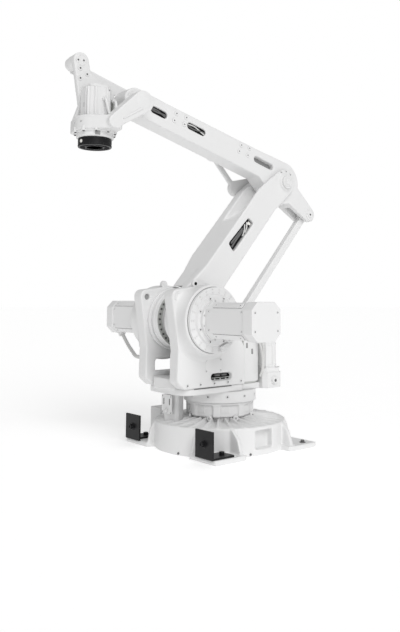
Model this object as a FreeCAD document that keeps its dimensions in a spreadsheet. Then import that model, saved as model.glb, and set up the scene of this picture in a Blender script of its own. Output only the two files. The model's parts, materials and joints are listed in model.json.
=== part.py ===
"""Four-axis palletising robot with parallelogram links, as a parametric FreeCAD document.

Frame: +X forward (towards the wrist), +Y the robot's left side, +Z up, millimetres.
The origin is on the floor, on the axis that the robot turns about.
"""
import math
import os

import FreeCAD
import Part
import Sketcher
from FreeCAD import Placement, Rotation, Vector

doc = FreeCAD.newDocument("PalletisingRobot")

# %% Driving dimensions

SIZES = [
    # alias, value, meaning
    ("shoulder_reach", 300, "axis 1 to axis 2, forward"),
    ("shoulder_height", 815, "floor to axis 2"),
    ("lower_arm_length", 1280, "axis 2 to the elbow"),
    ("upper_arm_length", 1350, "elbow to the wrist pivot"),
    ("wrist_reach", 220, "wrist pivot to the flange axis, forward"),
    ("wrist_drop", 285, "wrist pivot down to the tool face"),
    ("lower_arm_lean", 41, "lower arm, degrees back from upright"),
    ("upper_arm_rise", 15, "upper arm, degrees above level"),
    ("crank_length", 355, "drive crank and the upper arm's rear lever"),
    ("lever_droop", 22, "rear lever, degrees below the upper arm's line"),
    ("guide_back", 300, "lower guide rod, behind axis 2"),
    ("guide_rise", 60, "lower guide rod, above axis 2"),
    ("guide_front", 270, "upper guide rod, ahead of the elbow"),
    ("guide_top", 278, "upper guide rod, above the elbow"),
    ("drum_radius", 425, "base drum"),
    ("drum_height", 170, "base drum, to the top of its wall"),
    ("foot_x", 425, "outer corner of a foot, forward"),
    ("foot_y", 470, "outer corner of a foot, sideways"),
    ("foot_thickness", 30, "foot plate"),
    ("foot_bolt_x", 247, "foot bolts, forward of the origin"),
    ("foot_bolt_y", 440, "foot bolts, to the side of the origin"),
    ("foot_bolt_bore", 26, "clearance bore for an M24 bolt"),
    ("neck_radius", 205, "neck of the base"),
    ("neck_height", 292, "floor to the top of the neck"),
    ("slew_radius", 238, "slewing ring"),
    ("slew_height", 68, "slewing ring"),
    ("side_inner", 125, "inner face of a side housing"),
    ("side_outer", 212, "outer face of a side housing"),
    ("boss_outer", 298, "end of a housing's round boss"),
    ("boss_radius", 216, "round boss about axis 2"),
    ("flange_radius", 199, "bolted gearbox flange"),
    ("flange_thickness", 22, "bolted gearbox flange"),
    ("cover_end", 768, "end of a motor cover"),
    ("cover_half", 106, "half the height of a motor cover"),
    ("arm_near", 100, "lower arm, left face"),
    ("arm_far", 150, "lower arm, right face"),
    ("arm_front", 145, "lower arm, front face ahead of its centre line"),
    ("arm_rear", 62, "lower arm, rear face behind its centre line"),
    ("beam_half", 70, "half the width of the upper arm"),
    ("beam_top", 145, "upper arm, top face above the elbow line"),
    ("beam_under", 40, "upper arm, underside below the elbow line"),
    ("fork_gap", 5, "running gap between arm faces"),
    ("seat_gap", 0.3, "gap where a turning face meets its seat"),
    ("elbow_radius", 94, "round end of the lower arm"),
    ("rod_width", 54, "drive rod, across"),
    ("rod_half", 25, "half the thickness of the drive rod"),
    ("pin_radius", 28, "pins of the drive rod"),
    ("pin_gap", 0.5, "radial clearance of a free pin"),
    ("guide_pin", 20, "pins of the guide rods"),
    ("guide_tube", 16, "lower guide rod, radius"),
    ("guide_bar_top", 20, "upper guide rod, above its pins"),
    ("guide_bar_drop", 60, "upper guide rod, below its pins"),
    ("elbow_hump", 156, "round rear end of the upper arm's beam"),
    ("elbow_boss", 62, "raised boss round the elbow pin"),
    ("link_plane", 160, "inner face of the elbow link"),
    ("cheek_plane", 100, "inner face of the wrist cheek"),
    ("link_thickness", 35, "elbow link and wrist cheek"),
    ("flange_disc", 100, "tool disc"),
    ("disc_thickness", 50, "tool disc"),
    ("bore_radius", 50, "centring bore of the tool disc"),
    ("bolt_circle", 80, "radius of the tool disc's bolt circle"),
    ("tool_bolt_bore", 10.2, "tapped bores of the tool disc, M12 core"),
    ("cable_diameter", 25, "motor cable"),
    ("gland_half", 20, "half the width of a cable gland"),
]

sheet = doc.addObject("Spreadsheet::Sheet", "Sizes")
for row, (alias, value, meaning) in enumerate(SIZES, start=1):
    sheet.set(f"A{row}", meaning)
    sheet.set(f"B{row}", str(value))
    sheet.setAlias(f"B{row}", alias)
doc.recompute()


class Length:
    """A number together with the sheet expression that gives it."""

    def __init__(self, value, text):
        self.value = float(value)
        self.text = text

    def __add__(self, other):
        other = as_length(other)
        return Length(self.value + other.value, f"({self.text} + {other.text})")

    def __sub__(self, other):
        other = as_length(other)
        return Length(self.value - other.value, f"({self.text} - {other.text})")

    def __mul__(self, other):
        other = as_length(other)
        return Length(self.value * other.value, f"({self.text} * {other.text})")

    def __truediv__(self, other):
        other = as_length(other)
        return Length(self.value / other.value, f"({self.text} / {other.text})")

    def __neg__(self):
        return as_length(0) - self

    def __radd__(self, other):
        return as_length(other) + self

    def __rsub__(self, other):
        return as_length(other) - self

    def __rmul__(self, other):
        return as_length(other) * self


def as_length(number):
    return number if isinstance(number, Length) else Length(number, f"({float(number)})")


def cosine(angle):
    return Length(math.cos(math.radians(angle.value)), f"cos({angle.text} * 1 deg)")


def sine(angle):
    return Length(math.sin(math.radians(angle.value)), f"sin({angle.text} * 1 deg)")


class Sizes:
    """The sheet's cells, as lengths that carry their own names."""


size = Sizes()
for alias, value, meaning in SIZES:
    setattr(size, alias, Length(value, f"Sizes.{alias}"))


# %% Helpers: bodies, outlines, pads and pockets

PLANES = {
    # plane role, and the sign that turns a place along its axis into an attachment offset
    "XY": ("XY_Plane", 1),
    "XZ": ("XZ_Plane", -1),
    "YZ": ("YZ_Plane", 1),
}


def bind(item, path, length):
    item.setExpression(path, as_length(length).text)


def place(item, x=0, y=0, z=0, lean=None):
    """Put an object at (x, y, z), leaned back by an angle about the Y axis."""
    angle = lean.value if lean else 0
    item.Placement = Placement(Vector(0, 0, 0), Rotation(Vector(0, -1, 0), angle))
    bind(item, "Placement.Base.x", x)
    bind(item, "Placement.Base.y", y)
    bind(item, "Placement.Base.z", z)
    if lean:
        item.setExpression("Placement.Rotation.Angle", f"{lean.text} * 1 deg")


def new_body(label, x=0, y=0, z=0, lean=None):
    body = doc.addObject("PartDesign::Body", label)
    body.Label = label
    place(body, x, y, z, lean)
    return body


def tangent_points(corners):
    """Where each straight run leaves one corner and meets the next.

    A corner is (u, v) when sharp, or (u, v, radius) when the outline runs round a circle:
    a positive radius bulges outward and a negative one curves inward.
    """
    runs = []
    for here, there in zip(corners, corners[1:] + corners[:1]):
        across, up = there[0] - here[0], there[1] - here[1]
        turn = math.asin((here[2] - there[2]) / math.hypot(across, up))
        heading = math.atan2(up, across) + turn
        normal = (math.sin(heading), -math.cos(heading))
        runs.append([(c[0] + c[2] * normal[0], c[1] + c[2] * normal[1]) for c in (here, there)])
    return runs


def outline(body, plane, at, corners):
    """A closed sketch, anticlockwise in its own plane, with every corner bound to the sheet."""
    role, sign = PLANES[plane]
    sketch = body.newObject("Sketcher::SketchObject", body.Label + "_outline")
    origin_plane = [item for item in body.Origin.OriginFeatures if item.Role == role][0]
    sketch.AttachmentSupport = [(origin_plane, "")]
    sketch.MapMode = "FlatFace"
    bind(sketch, "AttachmentOffset.Base.z", sign * as_length(at))
    corners = [[as_length(item) for item in corner] for corner in corners]

    def fix(kind, geometry, point, length):
        index = sketch.addConstraint(
            Sketcher.Constraint(kind, -1, 1, geometry, point, length.value))
        bind(sketch, f"Constraints[{index}]", length)

    def fix_radius(geometry, radius):
        index = sketch.addConstraint(Sketcher.Constraint("Radius", geometry, abs(radius.value)))
        bind(sketch, f"Constraints[{index}]", radius if radius.value > 0 else -radius)

    if len(corners) == 1:
        u, v, radius = corners[0]
        circle = sketch.addGeometry(
            Part.Circle(Vector(u.value, v.value, 0), Vector(0, 0, 1), radius.value), False)
        fix("DistanceX", circle, 3, u)
        fix("DistanceY", circle, 3, v)
        fix_radius(circle, radius)
        return sketch

    numbers = [[item.value for item in (corner + [as_length(0)])[:3]] for corner in corners]
    runs = tangent_points(numbers)
    lines = [sketch.addGeometry(Part.LineSegment(Vector(*start, 0), Vector(*end, 0)), False)
             for start, end in runs]
    for index, corner in enumerate(corners):
        arriving, leaving = lines[index - 1], lines[index]
        if len(corner) == 2:
            sketch.addConstraint(Sketcher.Constraint("Coincident", arriving, 2, leaving, 1))
            fix("DistanceX", leaving, 1, corner[0])
            fix("DistanceY", leaving, 1, corner[1])
            continue
        u, v, radius = corner
        entry, departure = runs[index - 1][1], runs[index][0]
        first, last = (entry, departure) if radius.value > 0 else (departure, entry)
        start = math.atan2(first[1] - v.value, first[0] - u.value)
        end = math.atan2(last[1] - v.value, last[0] - u.value)
        if end < start:
            end += 2 * math.pi
        circle = Part.Circle(Vector(u.value, v.value, 0), Vector(0, 0, 1), abs(radius.value))
        arc = sketch.addGeometry(Part.ArcOfCircle(circle, start, end), False)
        entry_end, departure_end = (1, 2) if radius.value > 0 else (2, 1)
        sketch.addConstraint(Sketcher.Constraint("Tangent", arriving, 2, arc, entry_end))
        sketch.addConstraint(Sketcher.Constraint("Tangent", arc, departure_end, leaving, 1))
        fix("DistanceX", arc, 3, u)
        fix("DistanceY", arc, 3, v)
        fix_radius(arc, radius)
    return sketch


def extrude(kind, body, plane, corners, start, end):
    """A pad or pocket of an outline, from one place along the plane's axis to another."""
    start, end = as_length(start), as_length(end)
    sketch = outline(body, plane, (start + end) / 2, corners)
    feature = body.newObject(kind, body.Label + "_" + kind.split("::")[1].lower())
    feature.Profile = sketch
    feature.SideType = "Symmetric"
    bind(feature, "Length", end - start if end.value > start.value else start - end)
    sketch.Visibility = False
    return feature


def pad(body, plane, corners, start, end):
    return extrude("PartDesign::Pad", body, plane, corners, start, end)


def pocket(body, plane, corners, start, end):
    return extrude("PartDesign::Pocket", body, plane, corners, start, end)


def around(body, feature, count):
    """Repeat a feature round the body's own upright axis."""
    pattern = body.newObject("PartDesign::PolarPattern", body.Label + "_pattern")
    pattern.Originals = [feature]
    upright = [item for item in body.Origin.OriginFeatures if item.Role == "Z_Axis"][0]
    pattern.Axis = (upright, [""])
    pattern.Angle = 360
    pattern.Occurrences = count
    body.Tip = pattern
    return pattern


def box(left, bottom, right, top):
    """Corners of an upright rectangle, anticlockwise."""
    return [(left, bottom), (right, bottom), (right, top), (left, top)]


def cut_box(half, cut):
    """Corners of a square with its corners cut off, about the sketch's origin."""
    inner = half - cut
    return [(-inner, -half), (inner, -half), (half, -inner), (half, inner),
            (inner, half), (-inner, half), (-half, inner), (-half, -inner)]


def lever_point(length, across, droop):
    """A point on a lever that points backwards and droops, a distance along it and across."""
    return (-length * cosine(droop) + across * sine(droop),
            -length * sine(droop) - across * cosine(droop))


# %% Base: drum with four feet, neck, boxes and fork brackets

RIB_COUNT = 30
QUARTERS = [(1, 1), (-1, 1), (-1, -1), (1, -1)]
drum_floor = 0
web_top = size.drum_height - 6
slew_top = size.neck_height + size.slew_height
box_seat = size.drum_radius - 17


def base_casting():
    body = new_body("base_casting")
    pad(body, "XY", [(0, 0, size.drum_radius)], drum_floor, size.drum_height)
    rib = pad(body, "XZ", [
        (size.neck_radius - 20, size.drum_height - 10),
        (size.drum_radius - 12, size.drum_height - 10),
        (size.drum_radius - 12, size.drum_height + 6),
        (size.neck_radius - 20, size.drum_height + 30),
    ], -7, 7)
    around(body, rib, RIB_COUNT)
    for forward, side in QUARTERS:
        foot_plate = [
            (forward * 230, side * 230, 60),
            (forward * (size.foot_x - 20), side * (size.foot_y - 235), 20),
            (forward * (size.foot_x - 20), side * (size.foot_y - 20), 20),
            (forward * (size.foot_x - 230), side * (size.foot_y - 20), 20),
        ]
        if forward * side < 0:
            foot_plate.reverse()
        pad(body, "XY", foot_plate, drum_floor, size.foot_thickness)
        inner_y = side * (size.foot_y - 240)
        inner_x = forward * (size.foot_x - 200)
        web_x = [(inner_y, drum_floor), (inner_y, web_top),
                 (side * (size.foot_y - 92), web_top),
                 (side * (size.foot_y - 42), web_top - 50),
                 (side * (size.foot_y - 10), size.foot_thickness - 2),
                 (side * (size.foot_y - 12), drum_floor)]
        web_y = [(inner_x, drum_floor), (inner_x, web_top),
                 (forward * (size.foot_x - 60), web_top),
                 (forward * (size.foot_x - 30), web_top - 50),
                 (forward * (size.foot_x - 10), size.foot_thickness - 2),
                 (forward * (size.foot_x - 12), drum_floor)]
        if side > 0:
            web_x.reverse()
        if forward > 0:
            web_y.reverse()
        pad(body, "YZ", web_x, forward * (size.foot_x - 229), forward * (size.foot_x - 203))
        pad(body, "XZ", web_y, side * (size.foot_y - 252), side * (size.foot_y - 232))
        pocket(body, "XY", [(forward * size.foot_bolt_x, side * size.foot_bolt_y,
                             size.foot_bolt_bore / 2)], -1, size.foot_thickness + 1)
    for side in (1, -1):
        recess = box(-75 if side > 0 else -180, 38, 65 if side > 0 else -75, 148)
        pocket(body, "XZ", recess, side * (size.drum_radius - 55), side * (size.drum_radius + 20))
    pad(body, "XZ", box(40, 30, 188, size.drum_height - 8), -box_seat, -(box_seat - 80))
    pocket(body, "XZ", box(40, 30, 188, size.drum_height + 40), -box_seat, -(box_seat + 40))
    pocket(body, "XY", [(0, 0, size.neck_radius - 25)], size.drum_height - 20,
           size.drum_height + 40)
    pocket(body, "XY", riser_outline(1), size.drum_height, size.drum_height + 40)
    return body


def base_neck():
    body = new_body("base_neck")
    floor = size.drum_height - 20
    pad(body, "XY", [(0, 0, size.neck_radius - 25)], floor, size.drum_height + 35)
    pad(body, "XY", [(0, 0, size.neck_radius)], size.drum_height + 30, size.neck_height - 14)
    pad(body, "XY", [(0, 0, size.neck_radius + 20)], size.neck_height - 16, size.neck_height)
    post = pad(body, "XY", box(size.neck_radius - 10, -24, size.neck_radius + 16, 24),
               size.drum_height + 32, size.neck_height - 15)
    around(body, post, 8)
    return body


def connection_box():
    body = new_body("connection_box")
    pad(body, "XZ", box(42, 34, 186, 200), -(box_seat + 120), -box_seat)
    pad(body, "XZ", box(54, 55, 174, 185), -(box_seat + 130), -(box_seat + 118))
    return body


def riser_outline(margin):
    corner = 22 + margin
    return [(285, -150, corner), (330, -128, corner), (308, -62, corner), (268, -80, corner)]


def cable_riser():
    body = new_body("cable_riser")
    pad(body, "XY", riser_outline(0), size.drum_height, slew_top - 12)
    return body


def fork_bracket(label, side):
    """A bolted angle on a front foot: a plate lying on the foot and an upright one."""
    body = new_body(label)
    front = size.foot_x + 10
    foot = size.foot_thickness
    near, far = side * (size.foot_y - 175), side * (size.foot_y - 15)
    clear = side * (size.foot_y - 132)
    upright = box(near, foot, far, foot + 158) if side > 0 else box(far, foot, near, foot + 158)
    pad(body, "YZ", upright, front - 12, front)
    lying = box(front - 165, clear, front, far) if side > 0 else box(front - 165, far, front, clear)
    pad(body, "XY", lying, foot, foot + 12)
    middle = side * (size.foot_y - 95)
    pad(body, "YZ", [(middle, foot + 82, 17)], front, front + 14)
    pad(body, "XY", [(front - 120, side * (size.foot_y - 75), 16)], foot + 12, foot + 28)
    return body


# %% Swivel frame: ring, floor, two side housings with gearboxes and motors

frame_floor = slew_top + 40
shoulder = {"x": size.shoulder_reach, "z": size.shoulder_height}
floor_below = frame_floor - size.shoulder_height
axis_1_motor_x = -275
axis_1_motor_y = 150
rear_cover_side = size.side_outer - 22


def slewing_ring():
    body = new_body("slewing_ring")
    pad(body, "XY", [(0, 0, size.slew_radius)], size.neck_height + size.seat_gap, slew_top)
    return body


def frame_bottom():
    """The bridge between the side housings, with a sill in front and a low wall behind."""
    body = new_body("frame_bottom")
    front = size.shoulder_reach + 150
    rear = size.shoulder_reach - 337
    side = size.side_outer
    pad(body, "XY", [
        (rear + 40, -side + 40, 40), (front - 90, -side + 90, 90),
        (front - 90, side - 90, 90), (rear + 40, side - 40, 40),
    ], slew_top, frame_floor)
    inner = size.side_inner
    pad(body, "XY", [(front - 60, -inner + 60, 60), (front - 36, -inner + 60, 60),
                     (front - 36, inner - 60, 60), (front - 60, inner - 60, 60)],
        slew_top + 34, frame_floor + 58)
    pad(body, "XY", box(rear, -inner, rear + 40, inner), frame_floor - 5, frame_floor + 95)
    pad(body, "XY", box(axis_1_motor_x + 85, 60, rear + 45, rear_cover_side), slew_top, frame_floor)
    return body


def rear_cover():
    """The upright hood between the left housing and the motor of axis 1."""
    body = new_body("rear_cover")
    back, front = axis_1_motor_x + 97, size.shoulder_reach - 337
    pad(body, "XY", [(back, 60), (front, 60), (front, rear_cover_side),
                     (back + 40, rear_cover_side - 40, 40)], frame_floor, size.shoulder_height - 135)
    return body


def side_housing(label, side):
    body = new_body(label, **shoulder)
    inner, outer = side * size.side_inner, side * size.side_outer
    pad(body, "XZ", [
        (-337, floor_below), (150, floor_below), (172, floor_below + 62, 34), (200, -180),
        (205, 143, 45), (0, 0, 210), (-337, -185),
    ], inner, outer)
    pad(body, "XZ", [(0, 0, size.boss_radius)], side * (size.side_outer - 20),
        side * size.boss_outer)
    if side > 0:
        pocket(body, "XZ", [(-204, -355, 22), (-77, -355, 22)], size.side_outer - 26,
               size.side_outer + 10)
    if side < 0:
        pad(body, "XZ", [(-size.guide_back, size.guide_rise, 42), (-250, -110, 50), (-130, 20, 60)],
            -195, -150)
        pad(body, "XZ", [(-size.guide_back, size.guide_rise, size.guide_pin)], -196, -236)
        pocket(body, "XZ", [(-105, -312, 20), (112, -312, 20), (112, -272, 20), (-105, -272, 20)],
               -110, -230)
    pocket(body, "XZ", [(0, 0, 150)], side * (size.side_inner - 10), side * (size.boss_outer + 10))
    pocket(body, "XZ", [(200, 140, 19)], side * (size.side_inner - 10), side * (size.side_outer + 10))
    return body


def gearbox(label, side):
    """A reducer through its housing: drum, bolted outer flange and the inner output ring."""
    body = new_body(label, **shoulder)
    inner_face = size.side_inner - 30
    pad(body, "XZ", [(0, 0, 150 - size.seat_gap)], side * (inner_face + size.seat_gap),
        side * (size.boss_outer + 5))
    pad(body, "XZ", [(0, 0, size.flange_radius)], side * size.boss_outer,
        side * (size.boss_outer + size.flange_thickness))
    if side < 0:
        pad(body, "XZ", [(0, 0, 195)], side * (inner_face + size.seat_gap), side * size.side_inner)
    pad(body, "XZ", [(0, 0, 150)], side * (size.boss_outer + 20),
        side * (size.boss_outer + size.flange_thickness + 12))
    return body


def motor_adapter(label, side):
    body = new_body(label, **shoulder)
    start = size.boss_outer + size.flange_thickness + 12
    pad(body, "XZ", [(0, 0, 128)], side * start, side * (start + 20))
    return body


def motor_cover(label, side):
    body = new_body(label, **shoulder)
    start = size.boss_outer + size.flange_thickness + 32
    pad(body, "XZ", cut_box(size.cover_half, 36), side * start, side * (size.cover_end - 75))
    pad(body, "XZ", cut_box(size.cover_half + 6, 44), side * (size.cover_end - 76),
        side * size.cover_end)
    return body


def axis_1_motor():
    body = new_body("axis_1_motor", axis_1_motor_x, axis_1_motor_y)
    pad(body, "XY", [(0, 0, 72)], frame_floor + 86, frame_floor + 290)
    pad(body, "XY", cut_box(as_length(78), 24), frame_floor + 60, frame_floor + 88)
    return body


def axis_1_motor_mount():
    body = new_body("axis_1_motor_mount", axis_1_motor_x, axis_1_motor_y)
    pad(body, "XY", cut_box(as_length(85), 26), slew_top, frame_floor + 60)
    pad(body, "XZ", [(0, frame_floor + 8, 28)], 80, 92)
    return body


# %% Motor cable of the right-hand motor, with a gland at each end

CABLE_ROUTE = [
    (310, -712, 688), (310, -672, 648), (333, -588, 608), (374, -475, 578),
    (428, -365, 565), (455, -293, 565), (455, -232, 565),
]


def cable_gland_motor():
    """A wedge under the motor cover whose lower face looks down the cable's first run."""
    body = new_body("cable_gland_motor", size.shoulder_reach + 10)
    half = size.gland_half
    seat = size.shoulder_height - size.cover_half - 6
    across = half * math.sqrt(0.5)
    y, z = -(size.cover_end - 56), seat - 15
    pad(body, "YZ", [(y - 38, seat), (y - across, z - across), (y + across, z + across),
                     (y + 15, seat)], -half, half)
    return body


def cable_gland_frame():
    body = new_body("cable_gland_frame", size.shoulder_reach + 155, 0, size.shoulder_height - 250)
    pad(body, "XZ", [(0, 0, size.gland_half)], -size.side_outer, -(size.side_outer + 20))
    return body


def motor_cable():
    """A round tube along the route: straight runs joined by arcs as wide as the runs allow."""
    route = [Vector(*point) for point in CABLE_ROUTE]
    edges, start = [], route[0]
    for before, corner, after in zip(route, route[1:], route[2:]):
        arriving, leaving = (corner - before), (after - corner)
        reach = 0.45 * min(arriving.Length, leaving.Length)
        arriving.normalize()
        leaving.normalize()
        half_turn = arriving.getAngle(leaving) / 2
        entry, departure = corner - arriving * reach, corner + leaving * reach
        inward = (leaving - arriving).normalize()
        radius = reach / math.tan(half_turn)
        middle = corner + inward * (radius / math.cos(half_turn) - radius)
        edges.append(Part.makeLine(start, entry))
        edges.append(Part.Arc(entry, middle, departure).toShape())
        start = departure
    edges.append(Part.makeLine(start, route[-1]))
    path = Part.Wire(edges)
    section = Part.Wire(Part.makeCircle(size.cable_diameter.value / 2, route[0],
                                        route[1] - route[0]))
    cable = doc.addObject("Part::Feature", "motor_cable")
    cable.Label = "motor_cable"
    cable.Shape = path.makePipeShell([section], True, False)
    return cable


# %% Lower arm: one casting from axis 2 to a fork round the elbow

def lower_arm_casting():
    body = new_body("lower_arm_casting", **shoulder, lean=size.lower_arm_lean)
    front, rear = size.arm_front, size.arm_rear
    top = size.lower_arm_length
    hub_face = size.side_inner - 30
    pad(body, "XZ", [(0, 0, 186), (front - 20, 330, 20), (-rear + 20, 330, 20)],
        hub_face - 60, hub_face)
    pad(body, "XZ", [(-rear, 60), (front, 60), (front - 40, top - 220, 40),
                     (0, top, size.elbow_radius), (-rear, top - 230)],
        -size.arm_far, size.arm_near)
    pocket(body, "XZ", [(0, 0, 210)], -(size.arm_far + 10), hub_face - 60)
    pocket(body, "XZ", [(0, 0, 250)], hub_face, size.arm_near + 10)
    narrow = size.side_inner - 7
    pocket(body, "YZ", [(-narrow, 30), (-narrow, 285), (-size.arm_far, 420),
                        (-(size.arm_far + 20), 420), (-(size.arm_far + 20), 30)],
           -rear - 20, front + 20)
    pad(body, "XZ", [(0, top, size.elbow_boss)], size.arm_near - 5, size.arm_near + 15)
    slot = size.beam_half + size.fork_gap
    pocket(body, "XZ", [(-20, 870), (-20, top - 280), (35, top - 280), (front + 5, top - 545),
                        (front + 40, top - 545), (front + 40, top + 160),
                        (-rear - 120, top + 160), (-rear - 120, 870)],
           -slot, slot)
    pocket(body, "XZ", [(38, 566, 8), (92, 576, 8), (76, 822, 8), (34, 822, 8)],
           -(size.arm_far + 10), size.arm_near + 10)
    pad(body, "XZ", [(0, top, 60)], -(size.link_plane - size.seat_gap), -(size.arm_far - 5))
    pad(body, "XZ", [(0, 0, 60)], -(hub_face - 60 - size.seat_gap), hub_face - 55)
    return body


def elbow_cap():
    body = new_body("elbow_cap", **shoulder, lean=size.lower_arm_lean)
    pad(body, "XZ", [(0, size.lower_arm_length, 48)], size.arm_near + 15, size.arm_near + 26)
    return body


# %% Drive crank and rod behind the lower arm

lever_lean = size.upper_arm_rise + size.lever_droop
elbow = {
    "x": size.shoulder_reach - size.lower_arm_length * sine(size.lower_arm_lean),
    "z": size.shoulder_height + size.lower_arm_length * cosine(size.lower_arm_lean),
}


def drive_crank():
    body = new_body("drive_crank", **shoulder, lean=lever_lean)
    hub_face = size.side_inner - 30
    pin = (-size.crank_length, 0)
    pad(body, "XZ", [(0, 0, 185)], -hub_face, -(hub_face - 60))
    pad(body, "XZ", [(0, 0, 120), (*pin, 54)], -(hub_face - 12), -(hub_face - 60))
    pad(body, "XZ", [(*pin, 42)], -(hub_face - 58), -(size.rod_half + size.seat_gap))
    pad(body, "XZ", [(*pin, size.pin_radius)], -(hub_face - 62), size.rod_half + 4)
    return body


def drive_rod():
    """Runs beside the lower arm from the crank's pin to the upper arm's rear lever."""
    body = new_body("drive_rod",
                    size.shoulder_reach - size.crank_length * cosine(lever_lean), 0,
                    size.shoulder_height - size.crank_length * sine(lever_lean),
                    size.lower_arm_lean)
    top = size.lower_arm_length
    half, across = size.rod_half, size.rod_width / 2
    pad(body, "XZ", [(-across, 0), (across, 0), (across, top), (-across, top)], -half, half)
    for end in (0, top):
        pad(body, "XZ", [(0, end, 50)], -half, half)
    for end in (0, top):
        pocket(body, "XZ", [(0, end, size.pin_radius + size.pin_gap)], -half - 5, half + 5)
    return body


def rod_pin():
    body = new_body("rod_pin", elbow["x"] - size.crank_length * cosine(lever_lean), 0,
                    elbow["z"] - size.crank_length * sine(lever_lean))
    pad(body, "XZ", [(0, 0, size.pin_radius)], -size.beam_half, size.beam_half)
    return body


# %% Upper arm: beam with the rear lever

def upper_arm_casting():
    body = new_body("upper_arm_casting", **elbow, lean=size.upper_arm_rise)
    half, tip = size.beam_half, size.upper_arm_length
    top, under = size.beam_top, size.beam_under
    pad(body, "XZ", [
        (-8, 3, size.elbow_hump), (230, -under), (tip - 15, 43, 83), (tip - 260, top - 18),
        (300, top),
    ], -half, half)
    droop = size.lever_droop
    pad(body, "XZ", [(0, 0, 95), (*lever_point(size.crank_length, as_length(0), droop), 55)],
        -half, half)
    slot = size.rod_half + size.fork_gap
    reach = size.crank_length
    pocket(body, "XZ", [lever_point(reach - 165, as_length(90), droop),
                        lever_point(reach - 165, as_length(-90), droop),
                        lever_point(reach + 90, as_length(-90), droop),
                        lever_point(reach + 90, as_length(90), droop)], -slot, slot)
    pocket(body, "XZ", [(*lever_point(reach, as_length(0), droop), size.pin_radius + size.pin_gap)],
           -half - 5, half + 5)
    for left, right, height in ((135, 285, 72), (785, 900, 62), (1110, 1195, 45)):
        pocket(body, "XZ", [(left, height, 22), (right, height, 22)], -half - 5, half + 5)
    seat = size.fork_gap - size.seat_gap
    pad(body, "XZ", [(0, 0, 80)], -(half + seat), half + seat)
    pad(body, "XZ", [(tip, 0, 55)], -(size.cheek_plane - size.seat_gap),
        size.arm_near - size.seat_gap)
    return body


# %% Guide linkage that keeps the tool level

guide_outer = size.link_plane + size.link_thickness
guide_start = guide_outer + size.fork_gap
guide_end = guide_start + 36
guide_pin_end = guide_end + 2


def elbow_link():
    body = new_body("elbow_link", **elbow)
    up = (size.guide_front, size.guide_top)
    lobe = (250, -40)
    knob = (469, 189)
    low = (-size.guide_back, size.guide_rise)
    inner, outer = -size.link_plane, -guide_outer
    pad(body, "XZ", [(0, 0, 78), (*lobe, 58)], inner, outer)
    pad(body, "XZ", [(0, 0, 40), (*up, 40)], inner, outer)
    pad(body, "XZ", [(*lobe, 19), (*knob, 19)], inner - 8, outer + 5)
    pad(body, "XZ", [(*knob, 50)], inner, outer)
    pad(body, "XZ", [(*up, 50)], inner, outer)
    pad(body, "XZ", [(*low, 46), (0, 0, 70)], inner, outer)
    for pin in (up, low):
        pad(body, "XZ", [(*pin, size.guide_pin)], -(guide_outer - 2), -guide_pin_end)
    return body


def guide_rod(label, x, z, lean, length, upright):
    """An eye at each end of a round tube or of a flat bar, outside the elbow link."""
    body = new_body(label, x, 0, z, lean)
    far_end = (0, length) if upright else (length, 0)
    middle = (guide_start + guide_end) / 2
    for end in ((0, 0), far_end):
        pad(body, "XZ", [(*end, 46)], -guide_start, -guide_end)
    if upright:
        pad(body, "XY", [(0, -middle, size.guide_tube)], 0, length)
    else:
        pad(body, "XZ", box(0, -size.guide_bar_drop, length, size.guide_bar_top),
            -(middle - 9), -(middle + 9))
    for end in ((0, 0), far_end):
        pocket(body, "XZ", [(*end, size.guide_pin + size.pin_gap)], -(guide_start - 5),
               -(guide_end + 5))
    return body


# %% Wrist

wrist = {
    "x": elbow["x"] + size.upper_arm_length * cosine(size.upper_arm_rise),
    "z": elbow["z"] + size.upper_arm_length * sine(size.upper_arm_rise),
}
flange_axis = size.wrist_reach
disc_top = size.disc_thickness - size.wrist_drop
collar_top = disc_top + 40
ring_top = collar_top + 82


def wrist_frame():
    """The ring round the flange axis, with the left arm and the right web up to the pivot."""
    body = new_body("wrist_frame", **wrist)
    pad(body, "XY", [(flange_axis, 0, 128)], collar_top, ring_top)
    pad(body, "XY", [(flange_axis, 0, 112)], disc_top + size.seat_gap, collar_top + 1)
    left = size.arm_near
    pad(body, "XZ", [(0, 0, 68), (flange_axis - 20, collar_top + 41, 40)], left, left + 100)
    pad(body, "XY", [(flange_axis, 40, 100), (flange_axis - 40, left + 55, 45)],
        collar_top, ring_top)
    web = -(size.cheek_plane + size.link_thickness - 5)
    pad(body, "XY", [(flange_axis - 85, web, 5), (flange_axis + 92, web, 5),
                     (flange_axis, 0, 128)], collar_top, ring_top)
    return body


def wrist_cheek():
    """The upright plate that ties the upper guide rod, the pivot and the ring together."""
    body = new_body("wrist_cheek", **wrist)
    inner, outer = -size.cheek_plane, -(size.cheek_plane + size.link_thickness)
    top = (size.guide_front, size.guide_top)
    pad(body, "XZ", [(0, 0, 58), (flange_axis - 85, ring_top), (flange_axis + 92, ring_top),
                     (flange_axis + 54, -8), (*top, 52),
                     (size.guide_front - 66, size.guide_top - 62)], inner, outer)
    pad(body, "XZ", [(*top, 50)], outer + 1, -guide_start + size.seat_gap)
    pad(body, "XZ", [(*top, size.guide_pin)], -(guide_start - 2), -guide_pin_end)
    return body


def wrist_motor_box():
    body = new_body("wrist_motor_box", wrist["x"] + flange_axis, 0, wrist["z"])
    pad(body, "XY", cut_box(as_length(75), 22), ring_top, ring_top + 190)
    pad(body, "XY", cut_box(as_length(66), 20), ring_top + 188, ring_top + 206)
    return body


TOOL_BOLTS = 12


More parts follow.
